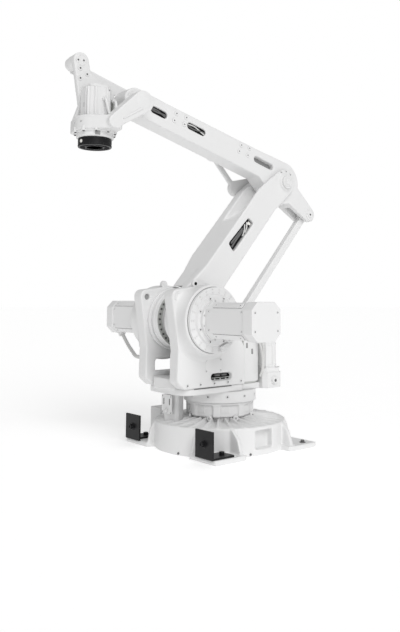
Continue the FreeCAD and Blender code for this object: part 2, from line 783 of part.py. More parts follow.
def turning_disc():
    body = new_body("turning_disc", wrist["x"] + flange_axis, 0, wrist["z"])
    face = -size.wrist_drop
    pad(body, "XY", [(0, 0, size.flange_disc)], face, disc_top)
    pocket(body, "XY", [(0, 0, size.bore_radius)], face - 5, face + 8)
    bore = pocket(body, "XY", [(size.bolt_circle, 0, size.tool_bolt_bore / 2)], face - 5, face + 20)
    around(body, bore, TOOL_BOLTS)
    return body


# %% Build, check and write

pieces = [
    base_casting(),
    base_neck(),
    connection_box(),
    cable_riser(),
    fork_bracket("fork_bracket_left", 1),
    fork_bracket("fork_bracket_right", -1),
    slewing_ring(),
    frame_bottom(),
    rear_cover(),
    side_housing("side_housing_left", 1),
    side_housing("side_housing_right", -1),
    gearbox("gearbox_left", 1),
    gearbox("gearbox_right", -1),
    motor_adapter("motor_adapter_left", 1),
    motor_adapter("motor_adapter_right", -1),
    motor_cover("motor_cover_left", 1),
    motor_cover("motor_cover_right", -1),
    axis_1_motor(),
    axis_1_motor_mount(),
    cable_gland_motor(),
    cable_gland_frame(),
    motor_cable(),
    lower_arm_casting(),
    elbow_cap(),
    drive_crank(),
    drive_rod(),
    rod_pin(),
    upper_arm_casting(),
    elbow_link(),
    guide_rod("guide_rod_lower", size.shoulder_reach - size.guide_back,
              size.shoulder_height + size.guide_rise, size.lower_arm_lean,
              size.lower_arm_length, True),
    guide_rod("guide_rod_upper", elbow["x"] + size.guide_front, elbow["z"] + size.guide_top,
              size.upper_arm_rise, size.upper_arm_length, False),
    wrist_frame(),
    wrist_cheek(),
    wrist_motor_box(),
    turning_disc(),
]
doc.recompute()

for item in doc.Objects:
    faults = {"Invalid", "Error"} & set(item.State)
    if faults:
        raise ValueError(f"{item.Label} is {faults}")
for piece in pieces:
    if piece.Shape.isNull() or not piece.Shape.isValid():
        raise ValueError(f"{piece.Label} has no valid shape")

os.makedirs("parts", exist_ok=True)
for piece in pieces:
    piece.Shape.exportStep(f"parts/{piece.Label}.step")
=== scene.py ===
# %% [markdown]
# # A white palletising robot: paint, fasteners and cable around a fixed frame
# The frame is the machine as its builder drew it: every casting, motor and pin is already in place
# and rides on its own moving body. This lesson gives it looks. Edges that a foundry would round are
# rounded, covers get their screws and seams, and every surface gets a procedural finish.

# %% Load the frame
import json
import math

import bmesh
import bpy
import numpy as np
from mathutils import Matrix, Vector

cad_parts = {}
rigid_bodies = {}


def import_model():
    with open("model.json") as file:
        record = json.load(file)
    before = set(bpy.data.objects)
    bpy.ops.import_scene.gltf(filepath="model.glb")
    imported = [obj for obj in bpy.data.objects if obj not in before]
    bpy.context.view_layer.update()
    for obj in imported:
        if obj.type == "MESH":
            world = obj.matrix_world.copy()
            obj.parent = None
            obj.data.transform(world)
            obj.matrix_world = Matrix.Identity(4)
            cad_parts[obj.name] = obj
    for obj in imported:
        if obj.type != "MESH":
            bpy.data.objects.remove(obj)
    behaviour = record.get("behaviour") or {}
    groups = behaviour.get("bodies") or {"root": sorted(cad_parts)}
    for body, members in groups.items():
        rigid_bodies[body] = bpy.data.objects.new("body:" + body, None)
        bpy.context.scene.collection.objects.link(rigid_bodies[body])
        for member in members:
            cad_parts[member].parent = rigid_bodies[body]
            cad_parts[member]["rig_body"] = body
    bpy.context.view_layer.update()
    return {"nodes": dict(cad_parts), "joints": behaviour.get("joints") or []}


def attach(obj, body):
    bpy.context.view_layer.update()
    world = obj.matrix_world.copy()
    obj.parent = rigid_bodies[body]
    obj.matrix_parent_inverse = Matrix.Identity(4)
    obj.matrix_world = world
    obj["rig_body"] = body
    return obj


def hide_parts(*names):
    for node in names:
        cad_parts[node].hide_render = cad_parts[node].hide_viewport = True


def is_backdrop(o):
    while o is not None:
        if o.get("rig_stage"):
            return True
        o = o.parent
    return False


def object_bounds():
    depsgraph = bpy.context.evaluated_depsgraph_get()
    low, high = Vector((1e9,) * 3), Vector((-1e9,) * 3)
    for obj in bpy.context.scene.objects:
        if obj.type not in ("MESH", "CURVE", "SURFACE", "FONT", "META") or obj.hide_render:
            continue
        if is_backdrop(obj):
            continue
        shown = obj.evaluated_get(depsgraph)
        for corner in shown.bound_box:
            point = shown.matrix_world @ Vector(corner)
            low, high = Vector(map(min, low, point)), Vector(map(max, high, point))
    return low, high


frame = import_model()
nodes = frame["nodes"]
joint_at = {joint["name"]: np.array(joint["pos_m"]) for joint in frame["joints"]}
shoulder = joint_at["axis_2"]
elbow = joint_at["axis_3"]
wrist = joint_at["wrist_pivot"]
flange = joint_at["axis_6"]
rear_pin = joint_at["rod_pin_pivot"]

# %% [markdown]
# ## Camera
# The robot is seen from its front left, from a little above its shoulder and from about five
# metres off. The lens axis points slightly up. The camera could be tilted down to take in the feet,
# but a shift of the sensor brings them into view and leaves the directions of the edges alone.

# %% Camera
CAMERA_LENS = 40.33
CAMERA_SHIFT = (-0.0386, -0.1884)
CAMERA_TURN = math.radians(50.04)
CAMERA_DISTANCE = 4.821
CAMERA_HEIGHT = 0.9586
CAMERA_LOOK_UP = math.radians(7.99)
CAMERA_LOOK_ASIDE = math.radians(-0.37)

camera_data = bpy.data.cameras.new("camera")
camera_data.lens = CAMERA_LENS
camera_data.shift_x, camera_data.shift_y = CAMERA_SHIFT
camera_data.clip_end = 100
camera = bpy.data.objects.new("camera", camera_data)
camera.location = (CAMERA_DISTANCE * math.cos(CAMERA_TURN), CAMERA_DISTANCE * math.sin(CAMERA_TURN),
                   CAMERA_HEIGHT)
camera.rotation_euler = (math.pi / 2 + CAMERA_LOOK_UP, 0,
                         CAMERA_TURN + CAMERA_LOOK_ASIDE + math.pi / 2)
bpy.context.scene.collection.objects.link(camera)
bpy.context.scene.camera = camera
print("camera at", tuple(round(value, 2) for value in camera.location))

# %% [markdown]
# ## Cable
# The right-hand motor is fed by a stiff light-grey cable. It leaves a gland under the motor's
# cover, sags in one easy curve and enters the frame level. A swept mesh would do too, but a NURBS
# curve needs only the few points of the cable's own route and bends as smoothly as the real thing.
# Its thickness is the radius of its points, so its bounding box stays as narrow as the cable.

# %% Motor cable
CABLE_DIAMETER = 0.025
CABLE_ROUTE = [
    (0.310, -0.712, 0.688), (0.310, -0.672, 0.648), (0.333, -0.588, 0.608),
    (0.374, -0.475, 0.578), (0.428, -0.365, 0.565), (0.455, -0.293, 0.565),
    (0.455, -0.232, 0.565),
]


def smooth_cable(name, route, diameter):
    """A round cable on one quadratic NURBS curve through the ends of its route."""
    curve = bpy.data.curves.new(name, "CURVE")
    curve.dimensions = "3D"
    curve.bevel_depth = 1.0
    curve.bevel_resolution = 6
    curve.use_fill_caps = True
    spline = curve.splines.new("NURBS")
    spline.points.add(len(route) - 1)
    spline.points.foreach_set("co", np.column_stack([route, np.ones(len(route))]).ravel())
    spline.points.foreach_set("radius", np.full(len(route), diameter / 2))
    spline.order_u = 3
    spline.use_endpoint_u = True
    spline.resolution_u = 12
    cable = bpy.data.objects.new(name, curve)
    bpy.context.scene.collection.objects.link(cable)
    return cable


motor_cable = smooth_cable("motor_cable_jacket", CABLE_ROUTE, CABLE_DIAMETER)
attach(motor_cable, "swivel")
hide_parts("motor_cable")

# %% [markdown]
# ## Studio
# A white machine reads best in an even white room with one large soft lamp. A modelled backdrop
# would need a bend and its own lights, so the floor is a wide pale disc that glows a little, and the
# world is shown as bright as that floor, which leaves no horizon to see. The world lights the robot
# with less than it shows, or every face would be equally white. A broad sun from the robot's left
# and above lights the sides that face the camera, and undersides fall into light grey.

# %% Floor, world and lamp
FLOOR_RADIUS = 60.0
SKY_FOR_LIGHT = 0.43
SKY_TO_SEE = 1.0
SUN_STRENGTH = 1.52
SUN_SOFTNESS = math.radians(40)
TOWARDS_SUN = (0.22, 0.76, 0.61)

sun_data = bpy.data.lights.new("sun", "SUN")
sun_data.energy = SUN_STRENGTH
sun_data.angle = SUN_SOFTNESS
sun = bpy.data.objects.new("sun", sun_data)
sun.rotation_euler = Vector(TOWARDS_SUN).to_track_quat("Z", "Y").to_euler()
bpy.context.scene.collection.objects.link(sun)

world = bpy.data.worlds.new("studio")
world.use_nodes = True
sky = world.node_tree.nodes["Background"]
sky.inputs["Color"].default_value = (1.0, 1.0, 1.0, 1)
seen = world.node_tree.nodes.new("ShaderNodeLightPath")
level = world.node_tree.nodes.new("ShaderNodeMapRange")
level.inputs["To Min"].default_value = SKY_FOR_LIGHT
level.inputs["To Max"].default_value = SKY_TO_SEE
world.node_tree.links.new(seen.outputs["Is Camera Ray"], level.inputs["Value"])
world.node_tree.links.new(level.outputs["Result"], sky.inputs["Strength"])
bpy.context.scene.world = world
bpy.context.scene.view_settings.view_transform = "Standard"

turn = np.linspace(0, 2 * math.pi, 97)[:-1]
rim = np.column_stack([FLOOR_RADIUS * np.cos(turn), FLOOR_RADIUS * np.sin(turn), 0 * turn])
floor_mesh = bpy.data.meshes.new("floor")
floor_mesh.from_pydata(rim.tolist(), [], [list(range(len(rim)))])
floor = bpy.data.objects.new("floor", floor_mesh)
bpy.context.scene.collection.objects.link(floor)
floor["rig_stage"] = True

# %% [markdown]
# ## Finishes
# Sprayed paint is never one flat colour. Its tone drifts over a hand's width, its gloss changes in
# patches, and the casting's skin shows through as a fine bump. An image could carry all of this,
# but noise on object coordinates needs no unwrapping and has no seams. One function makes every
# finish from a few numbers, so that castings, sheet covers and black brackets stay one family.

# %% Finishes


def paint(name, colour, roughness, grain, grain_size, metal=0.0, drift=0.035, shine=0.5):
    """Sprayed paint: its colour drifts a little over a hand's width, its gloss varies in
    patches, and a fine bump gives the grain of the surface under it."""
    material = bpy.data.materials.new(name)
    material.use_nodes = True
    tree = material.node_tree
    shader = tree.nodes["Principled BSDF"]
    place = tree.nodes.new("ShaderNodeTexCoord")

    def noise(scale, detail):
        node = tree.nodes.new("ShaderNodeTexNoise")
        node.inputs["Scale"].default_value = scale
        node.inputs["Detail"].default_value = detail
        tree.links.new(place.outputs["Object"], node.inputs["Vector"])
        return node.outputs["Fac"]

    tint = tree.nodes.new("ShaderNodeMix")
    tint.data_type = "RGBA"
    tint.inputs["A"].default_value = (*[channel * (1 - drift) for channel in colour], 1)
    tint.inputs["B"].default_value = (*colour, 1)
    tree.links.new(noise(4.0, 3.0), tint.inputs["Factor"])
    tree.links.new(tint.outputs["Result"], shader.inputs["Base Color"])
    gloss = tree.nodes.new("ShaderNodeMapRange")
    gloss.inputs["To Min"].default_value = roughness * 0.8
    gloss.inputs["To Max"].default_value = roughness * 1.2
    tree.links.new(noise(22.0, 4.0), gloss.inputs["Value"])
    tree.links.new(gloss.outputs["Result"], shader.inputs["Roughness"])
    bump = tree.nodes.new("ShaderNodeBump")
    bump.inputs["Strength"].default_value = grain
    bump.inputs["Distance"].default_value = 0.001
    tree.links.new(noise(grain_size, 5.0), bump.inputs["Height"])
    tree.links.new(bump.outputs["Normal"], shader.inputs["Normal"])
    shader.inputs["Metallic"].default_value = metal
    shader.inputs["Specular IOR Level"].default_value = shine
    return material


finish = {
    "cast": paint("white_cast_paint", (0.79, 0.79, 0.79), 0.42, 0.35, 160.0),
    "sheet": paint("white_sheet_paint", (0.81, 0.81, 0.81), 0.34, 0.10, 420.0),
    # The grey paint is a real cover colour, and also painted shade on the crank's hub face
    "grey": paint("grey_cover_paint_and_painted_shade", (0.50, 0.51, 0.49), 0.36, 0.10, 420.0),
    "black": paint("black_paint", (0.014, 0.014, 0.015), 0.36, 0.20, 300.0, drift=0.3, shine=0.2),
    # hollow_shadow is painted shade: near-black sheets set in slots, holes and recesses where their
    # inside falls into shade
    "hollow": paint("hollow_shadow", (0.010, 0.010, 0.011), 0.85, 0.10, 200.0, drift=0.3, shine=0.1),
    "steel": paint("zinc_plate", (0.55, 0.55, 0.56), 0.32, 0.05, 500.0, metal=1.0, drift=0.15),
    "iron": paint("sunk_screw_iron", (0.13, 0.13, 0.13), 0.4, 0.1, 400.0, drift=0.2),
    "shade": paint("screw_paint", (0.60, 0.60, 0.60), 0.40, 0.10, 400.0),
    # The dim grey is paint on small rims, plugs, marks and a window, and painted shade in the upper
    # arm's rear slot
    "dim": paint("dim_grey_paint_and_painted_shade", (0.30, 0.30, 0.30), 0.5, 0.2, 200.0),
    "pin": paint("bright_pin", (0.85, 0.84, 0.80), 0.3, 0.05, 400.0),
    "jacket": paint("cable_jacket", (0.66, 0.66, 0.65), 0.55, 0.15, 700.0),
}
FLOOR_GLOW = 0.37
floor_paint = paint("floor_paint", (0.88, 0.88, 0.88), 0.8, 0.02, 60.0, drift=0.01)
floor_shader = floor_paint.node_tree.nodes["Principled BSDF"]
floor_shader.inputs["Emission Color"].default_value = (1, 1, 1, 1)
floor_shader.inputs["Emission Strength"].default_value = FLOOR_GLOW
floor.data.materials.append(floor_paint)
motor_cable.data.materials.append(finish["jacket"])
print("finishes:", sorted(finish))

# %% [markdown]
# ## Helpers
# Most of what the eye reads as a machine is small: screws, washers, caps, lips and plates. Each is a
# surface worked out with numpy on a grid and copied to many places at once. Linked copies would do
# as well, but this way a ring of two dozen screws is one mesh and one line of code.

# %% Helpers: pieces and grids
UP = np.array([0.0, 0.0, 1.0])
LEFT = np.array([0.0, 1.0, 0.0])
FORWARD = np.array([1.0, 0.0, 0.0])


def show(name, points, faces, body, material, angle=34):
    """A mesh from points and faces: doubles merged, every face outward, riding on a body."""
    mesh = bpy.data.meshes.new(name)
    mesh.from_pydata(np.asarray(points).tolist(), [], [list(map(int, face)) for face in faces])
    shape = bmesh.new()
    shape.from_mesh(mesh)
    bmesh.ops.remove_doubles(shape, verts=shape.verts, dist=1e-6)
    bmesh.ops.recalc_face_normals(shape, faces=shape.faces)
    shape.to_mesh(mesh)
    shape.free()
    mesh.materials.append(finish[material])
    mesh.polygons.foreach_set("use_smooth", np.ones(len(mesh.polygons), bool))
    mesh.set_sharp_from_angle(angle=math.radians(angle))
    piece = bpy.data.objects.new(name, mesh)
    bpy.context.scene.collection.objects.link(piece)
    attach(piece, body)
    return piece


def tube_faces(rows, columns):
    """Quads of a tube of rows by columns, closed along its columns, and its two end faces."""
    index = np.arange(rows * columns).reshape(rows, columns)
    beside = np.roll(index, -1, 1)
    quads = np.stack([index[:-1], beside[:-1], beside[1:], index[1:]], -1).reshape(-1, 4)
    return [*quads, index[0][::-1], index[-1]]


def axes_for(out):
    """Two directions that lie across a given one."""
    out = np.array(out, float) / np.linalg.norm(out)
    helper = UP if abs(out[2]) < 0.9 else FORWARD
    across = np.cross(helper, out)
    across /= np.linalg.norm(across)
    return across, np.cross(out, across), out


# %% Helpers: turned shapes and screws
SCREW_SIDES = 14
COLLAR_SIDES = 18


def turned(name, body, material, centres, out, profile, sides=32):
    """Turned shapes: a profile of (radius, height) carried round an axis through each centre.
    The first and last radius are closed by a flat face."""
    across, up, out = axes_for(out)
    angle = np.arange(sides) * 2 * math.pi / sides
    ring = np.cos(angle)[:, None] * across + np.sin(angle)[:, None] * up
    profile = np.array(profile, float)
    local = (profile[:, 0, None, None] * ring + profile[:, 1, None, None] * out).reshape(-1, 3)
    one = tube_faces(len(profile), sides)
    centres = np.atleast_2d(centres)
    points = (centres[:, None] + local[None]).reshape(-1, 3)
    faces = [face + index * len(local) for index in range(len(centres)) for face in one]
    return show(name, points, faces, body, material)


def cap_screws(name, body, material, centres, out, radius, height=None):
    """Socket-head screws: a round head with a turned-down rim and a socket in its top."""
    height = height or radius * 0.8
    rim, socket = radius * 0.15, radius * 0.5
    profile = [(radius, -0.002), (radius, height - rim), (radius - rim, height),
               (socket, height), (socket * 0.96, height * 0.25)]
    return turned(name, body, material, centres, out, profile, SCREW_SIDES)


def sunk_screws(name, body, centres, out, radius, collar=1.9):
    """A spot-faced screw: a thin collar in a fine grey rim, with a dark sunk head in its middle."""
    turned(name + "_collars", body, "cast", centres, out,
           [(radius * collar, -0.002), (radius * collar, 0.0016), (radius * collar - 0.001, 0.0024),
            (radius, 0.0024), (radius, 0.0008)], COLLAR_SIDES)
    turned(name + "_rims", body, "dim", centres, out,
           [(radius * collar + 0.0007, -0.002), (radius * collar + 0.0007, 0.0003),
            (radius * collar - 0.0005, 0.0003)], COLLAR_SIDES)
    return turned(name + "_heads", body, "iron", centres, out,
                  [(radius * 0.96, -0.001), (radius * 0.96, 0.0016), (radius * 0.5, 0.0019)],
                  SCREW_SIDES)


def ring_of(centre, out, radius, count, start=0.0, sweep=360.0):
    """Centres spaced evenly round an axis, or along a part of the circle."""
    across, up, out = axes_for(out)
    steps = np.arange(count) / (count if sweep == 360.0 else count - 1)
    angle = np.radians(start + sweep * steps)
    return centre + radius * (np.cos(angle)[:, None] * across + np.sin(angle)[:, None] * up)


def ray_at(degrees):
    """A level direction at an angle from straight ahead, positive towards the left."""
    return np.array([math.cos(math.radians(degrees)), math.sin(math.radians(degrees)), 0])


# %% Helpers: plates and pipes


def rounded(corners, radius, steps=6):
    """An outline whose corners are replaced by arcs of one radius, tangent to both sides."""
    corners = np.array(corners, float)
    before, after = np.roll(corners, 1, 0) - corners, np.roll(corners, -1, 0) - corners
    before /= np.linalg.norm(before, axis=1)[:, None]
    after /= np.linalg.norm(after, axis=1)[:, None]
    half = np.arccos(np.clip((before * after).sum(1), -1, 1)) / 2
    middle = before + after
    middle /= np.linalg.norm(middle, axis=1)[:, None]
    centre = corners + middle * (radius / np.sin(half))[:, None]
    start = corners + before * (radius / np.tan(half))[:, None] - centre
    end = corners + after * (radius / np.tan(half))[:, None] - centre
    blend = np.linspace(0, 1, steps)[None, :, None]
    arc = start[:, None] * (1 - blend) + end[:, None] * blend
    arc *= radius / np.linalg.norm(arc, axis=2)[..., None]
    return (centre[:, None] + arc).reshape(-1, 2)


def rectangle(left, low, right, high, radius):
    """A rectangle whose four corners are arcs of one radius."""
    return rounded([(left, low), (right, low), (right, high), (left, high)], radius)


def plate(name, body, material, outline, origin, along, across, out, thickness,
          edge=0.001, sink=0.002):
    """Plates with a rounded rim: the outline shrinks along a quarter circle as it rises. It is
    repeated at each origin."""
    outline, along, across, out = (np.array(item, float) for item in (outline, along, across, out))
    turn = np.roll(outline, -1, 0)
    if (outline[:, 0] * turn[:, 1] - outline[:, 1] * turn[:, 0]).sum() < 0:
        outline = outline[::-1]
    tangent = np.roll(outline, -1, 0) - np.roll(outline, 1, 0)
    tangent /= np.linalg.norm(tangent, axis=1)[:, None]
    inward = np.column_stack([-tangent[:, 1], tangent[:, 0]])
    quarter = np.linspace(0, math.pi / 2, 4)
    shrink = np.concatenate([[0], edge * (1 - np.cos(quarter))])
    height = np.concatenate([[-sink], thickness - edge + edge * np.sin(quarter)])
    flat = outline[None] + shrink[:, None, None] * inward[None]
    local = (flat[..., :1] * along + flat[..., 1:] * across
             + height[:, None, None] * out).reshape(-1, 3)
    one = tube_faces(len(height), len(outline))
    origins = np.atleast_2d(origin)
    points = (origins[:, None] + local[None]).reshape(-1, 3)
    faces = [face + index * len(local) for index in range(len(origins)) for face in one]
    return show(name, points, faces, body, material, angle=50)


def bowed(points, steps=8):
    """A smooth path through a few points, as a Catmull-Rom curve."""
    points = np.array(points, float)
    padded = np.vstack([2 * points[0] - points[1], points, 2 * points[-1] - points[-2]])
    t = np.linspace(0, 1, steps, endpoint=False)[:, None]
    runs = []
    for a, b, c, d in zip(padded, padded[1:], padded[2:], padded[3:]):
        runs.append(0.5 * (2 * b + (c - a) * t + (2 * a - 5 * b + 4 * c - d) * t ** 2
                           + (3 * b - a - 3 * c + d) * t ** 3))
    return np.vstack([*runs, points[-1:]])


def pipes(name, body, material, paths, radius, sides=12):
    """Round bars: at each point of a path a circle lies across the path's direction."""
    angle = np.arange(sides) * 2 * math.pi / sides
    points, faces, count = [], [], 0
    for path in paths:
        path = bowed(path)
        ahead = np.gradient(path, axis=0)
        ahead /= np.linalg.norm(ahead, axis=1)[:, None]
        across = np.cross(ahead, np.where(np.abs(ahead[:, 1:2]) > 0.9, UP, LEFT))
        across /= np.linalg.norm(across, axis=1)[:, None]
        other = np.cross(ahead, across)
        ring = (np.cos(angle)[None, :, None] * across[:, None]
                + np.sin(angle)[None, :, None] * other[:, None])
        points.append((path[:, None] + radius * ring).reshape(-1, 3))
        faces += [face + count for face in tube_faces(len(path), sides)]
        count += len(path) * sides
    return show(name, np.concatenate(points), faces, body, material)


# %% [markdown]
# ## Rounded castings
# A foundry can't cast a sharp edge: corners are rounded outside and filleted inside. Bevels would
# tangle where so many ribs, bosses and pockets meet, so each casting's own solid is given a fresh
# skin by a voxel remesh, the skin is relaxed until every edge is rounded by about its own voxel and
# a half, and the flats are then thinned out to few large triangles. Turned and sheet parts keep
# their crisp edges, and get a plain Bevel.

# %% Rounded castings
BEVEL_STEPS = 2
SHARP_ANGLE = math.radians(32)
FLATS_WEIGHT = 60


def frame_copy(node, material):
    """A mesh copy of the frame's node with its doubled vertices merged, riding on its body."""
    source = nodes[node]
    mesh = source.data.copy()
    shape = bmesh.new()
    shape.from_mesh(mesh)
    bmesh.ops.remove_doubles(shape, verts=shape.verts, dist=2e-5)
    shape.to_mesh(mesh)
    shape.free()
    mesh.materials.clear()
    mesh.materials.append(finish[material])
    mesh.polygons.foreach_set("use_smooth", np.ones(len(mesh.polygons), bool))
    piece = bpy.data.objects.new(node + "_finish", mesh)
    bpy.context.scene.collection.objects.link(piece)
    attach(piece, source["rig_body"])
    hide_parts(node)
    return piece


def cast(node, skin, relax, keep):
    """A casting: a new skin of square facets, relaxed until its edges are round, then thinned."""
    piece = frame_copy(node, "cast")
    remesh = piece.modifiers.new("skin", "REMESH")
    remesh.mode = "VOXEL"
    remesh.voxel_size = skin
    remesh.use_smooth_shade = True
    smooth = piece.modifiers.new("relax", "SMOOTH")
    smooth.factor = 0.5
    smooth.iterations = relax
    thin = piece.modifiers.new("thin", "DECIMATE")
    thin.ratio = keep
    normals = piece.modifiers.new("flats", "WEIGHTED_NORMAL")
    normals.weight = FLATS_WEIGHT
    return piece


def machined(node, radius, material):
    """A turned, milled or folded part: its sharp edges get a narrow bevel."""
    piece = frame_copy(node, material)
    bevel = piece.modifiers.new("broken_edges", "BEVEL")
    bevel.width = radius
    bevel.segments = BEVEL_STEPS
    bevel.limit_method = "ANGLE"
    bevel.angle_limit = SHARP_ANGLE
    bevel.use_clamp_overlap = True
    normals = piece.modifiers.new("flats", "WEIGHTED_NORMAL")
    normals.keep_sharp = True
    return piece


# node: (size of the new skin's facets, steps of relaxing, share of its triangles that is kept)
CASTINGS = {
    "base_casting": (0.0060, 4, 0.32), "base_neck": (0.0060, 3, 0.30),
    "frame_bottom": (0.0060, 6, 0.30), "side_housing_left": (0.0055, 8, 0.32),
    "side_housing_right": (0.0055, 8, 0.32), "lower_arm_casting": (0.0060, 8, 0.30),
    "upper_arm_casting": (0.0055, 6, 0.30), "elbow_link": (0.0045, 6, 0.32),
    "wrist_frame": (0.0045, 6, 0.32), "wrist_cheek": (0.0045, 6, 0.32),
    "drive_crank": (0.0050, 6, 0.32), "drive_rod": (0.0045, 8, 0.95),
    "guide_rod_lower": (0.0035, 10, 0.95), "guide_rod_upper": (0.0035, 10, 0.95),
}
for node, (skin, relax, keep) in CASTINGS.items():
    cast(node, skin, relax, keep)

# node: (width of the bevel, finish)
MACHINED = {
    "connection_box": (0.004, "sheet"), "cable_riser": (0.003, "cast"),
    "slewing_ring": (0.004, "cast"), "gearbox_left": (0.003, "cast"),
    "gearbox_right": (0.003, "cast"), "motor_adapter_left": (0.003, "cast"),
    "motor_adapter_right": (0.003, "cast"), "axis_1_motor": (0.004, "sheet"),
    "axis_1_motor_mount": (0.004, "cast"), "elbow_cap": (0.003, "cast"),
    "cable_gland_motor": (0.002, "cast"), "cable_gland_frame": (0.002, "cast"),
    "motor_cover_left": (0.005, "sheet"), "motor_cover_right": (0.005, "sheet"),
    "wrist_motor_box": (0.005, "sheet"), "rear_cover": (0.005, "grey"),
    "fork_bracket_left": (0.0015, "black"), "fork_bracket_right": (0.0015, "black"),
    "turning_disc": (0.0015, "black"), "rod_pin": (0.001, "cast"),
}
for node, (radius, material) in MACHINED.items():
    machined(node, radius, material)
print("castings:", len(CASTINGS), "machined parts:", len(MACHINED))

# %% [markdown]
# ## Shoulder: gearbox flanges, skirts and lugs
# Each gearbox is bolted to its housing by two rings of small screws, and the housing swells towards
# the flange in a cast skirt. A loft between two curves could make the skirt, but a polar grid says
# it in one formula: its inner rim is the round boss, its foot follows the housing's own outline, and
# the height between them falls along a quarter circle. Screws and gaskets are turned shapes.

# %% Gearbox flanges
SIDES = {"left": 1, "right": -1}
BOSS_FACE = 0.298
FLANGE_FACE = 0.320
DISC_FACE = 0.332
ADAPTER_FACE = 0.352
HOUSING_FACE = 0.212
SKIRT_RADIUS, SKIRT_REACH, SKIRT_MARGIN = 0.2150, 0.268, 0.006
SKIRT_TOP, SKIRT_FOOT = 0.2925, HOUSING_FACE - 0.001
HOUSING_OUTLINE = np.array([
    (-0.337, -0.415), (0.160, -0.415), (0.204, -0.340), (0.206, -0.180), (0.248, 0.150),
    (0.225, 0.190), (0.150, 0.196), (0.0, 0.210), (-0.120, 0.172), (-0.337, -0.185),
])


def on_axis_2(side, y, x=0.0, z=0.0):
    """A place measured from axis 2, at a distance y to the left or right side."""
    return np.array([shoulder[0] + x, side * y, shoulder[2] + z])


def outline_distance(outline, angle):
    """How far a ray from the origin at each angle runs before it leaves a closed outline."""
    start, run = outline, np.roll(outline, -1, 0) - outline
    ray = np.stack([np.cos(angle), np.sin(angle)], -1)[:, None]
    cross = ray[..., 0] * run[:, 1] - ray[..., 1] * run[:, 0]
    along_ray = (start[:, 0] * run[:, 1] - start[:, 1] * run[:, 0]) / cross
    along_run = (start[:, 0] * ray[..., 1] - start[:, 1] * ray[..., 0]) / cross
    hit = (along_ray > 0) & (along_run >= 0) & (along_run <= 1)
    return np.where(hit, along_ray, np.inf).min(1)


def skirt(name, side):
    """Radius runs from the boss to the foot; height falls along a quarter circle between."""
    turn = np.linspace(0, 2 * math.pi, 121)[:-1]
    foot = np.minimum(SKIRT_REACH, outline_distance(HOUSING_OUTLINE, turn) - SKIRT_MARGIN)
    blend = np.linspace(0, math.pi / 2, 12)[:, None]
    radius = SKIRT_RADIUS + (foot - SKIRT_RADIUS) * (1 - np.cos(blend))
    height = SKIRT_TOP - (SKIRT_TOP - SKIRT_FOOT) * np.sin(blend)
    radius = np.vstack([np.full_like(foot, SKIRT_RADIUS - 0.010), radius,
                        np.full_like(foot, SKIRT_RADIUS - 0.020)])
    height = np.vstack([[SKIRT_TOP], height, [SKIRT_FOOT]]) * np.ones_like(foot)
    points = np.stack([shoulder[0] + radius * np.cos(turn), side * height,
                       shoulder[2] + radius * np.sin(turn)], -1).reshape(-1, 3)
    show(name, points, tube_faces(*radius.shape), "swivel", "cast", angle=50)


for label, side in SIDES.items():
    out = (0, side, 0)
    skirt("boss_skirt_" + label, side)
    turned("flange_gasket_" + label, "swivel", "iron", on_axis_2(side, BOSS_FACE), out,
           [(0.2012, -0.003), (0.2012, 0.0015), (0.198, 0.0015)], 96)
    turned("flange_step_" + label, "swivel", "cast", on_axis_2(side, FLANGE_FACE), out,
           [(0.158, -0.002), (0.158, 0.0005), (0.151, 0.011), (0.148, 0.011)], 96)
    rings = [ring_of(on_axis_2(side, FLANGE_FACE), out, radius, 22) for radius in (0.188, 0.170)]
    cap_screws("flange_screws_" + label, "swivel", "cast", np.concatenate(rings), out, 0.0052)
    sunk_screws("adapter_screws_" + label, "swivel",
                ring_of(on_axis_2(side, DISC_FACE), out, 0.139, 8, 22.5), out, 0.0055)
    cap_screws("adapter_rim_screws_" + label, "swivel", "shade",
               ring_of(on_axis_2(side, ADAPTER_FACE), out, 0.120, 12, 15), out, 0.0050)
print("screws on each flange:", len(np.concatenate(rings)))

# %% Housing lugs, cover plate and connector recess
RECESS_CENTRE = on_axis_2(1, 0.187, -0.1405, -0.355)
for label, side in SIDES.items():
    turned("lug_ring_" + label, "swivel", "cast", on_axis_2(side, HOUSING_FACE, 0.200, 0.140),
           (0, side, 0), [(0.034, -0.001), (0.032, 0.005), (0.024, 0.005), (0.0185, -0.004)], 40)
turned("lug_plugs", "swivel", "dim",
       [on_axis_2(side, 0.150, 0.200, 0.140) for side in (1, -1)], LEFT,
       [(0.0188, -0.012), (0.0188, 0.012)], 32)
plate("cover_plate", "swivel", "sheet", rectangle(-0.137, -0.322, -0.007, -0.241, 0.010),
      on_axis_2(1, HOUSING_FACE), FORWARD, UP, LEFT, 0.0022)
sunk_screws("cover_plate_screws", "swivel",
            [on_axis_2(1, HOUSING_FACE + 0.002, x, z)
             for x in (-0.129, -0.015) for z in (-0.314, -0.249)], LEFT, 0.0032)
# painted shade: a near-black floor for the connector recess
plate("recess_floor", "swivel", "hollow", rectangle(-0.084, -0.021, 0.084, 0.021, 0.0205),
      RECESS_CENTRE, FORWARD, UP, LEFT, 0.003)
plate("recess_sockets", "swivel", "iron", rectangle(-0.019, -0.0055, 0.019, 0.0055, 0.004),
      [RECESS_CENTRE + (x, 0, 0.010) for x in (-0.024, 0.030)], FORWARD, UP, LEFT, 0.020)
plate("recess_bar", "swivel", "grey", rectangle(-0.072, -0.0015, 0.072, 0.0015, 0.0014),
      RECESS_CENTRE + (0, 0, -0.006), FORWARD, UP, LEFT, 0.014)
turned("recess_pins", "swivel", "sheet",
       [RECESS_CENTRE + (x, 0, -0.015) for x in (-0.045, 0.0, 0.045)], LEFT,
       [(0.0035, 0.0), (0.0035, 0.012), (0.002, 0.014)], 12)

# %% [markdown]
# ## Motors: strips, screws, pipes and ribs
# A motor cover is a folded hood whose sloping corners carry long strips held by screws. A strip could
# be cut into the hood's mesh, but a rounded plate laid on the slope is simpler, and a thin dark plate
# under it draws the seam. The upright motor behind the housings has two ribs, and two thin pipes
# run down beside it.

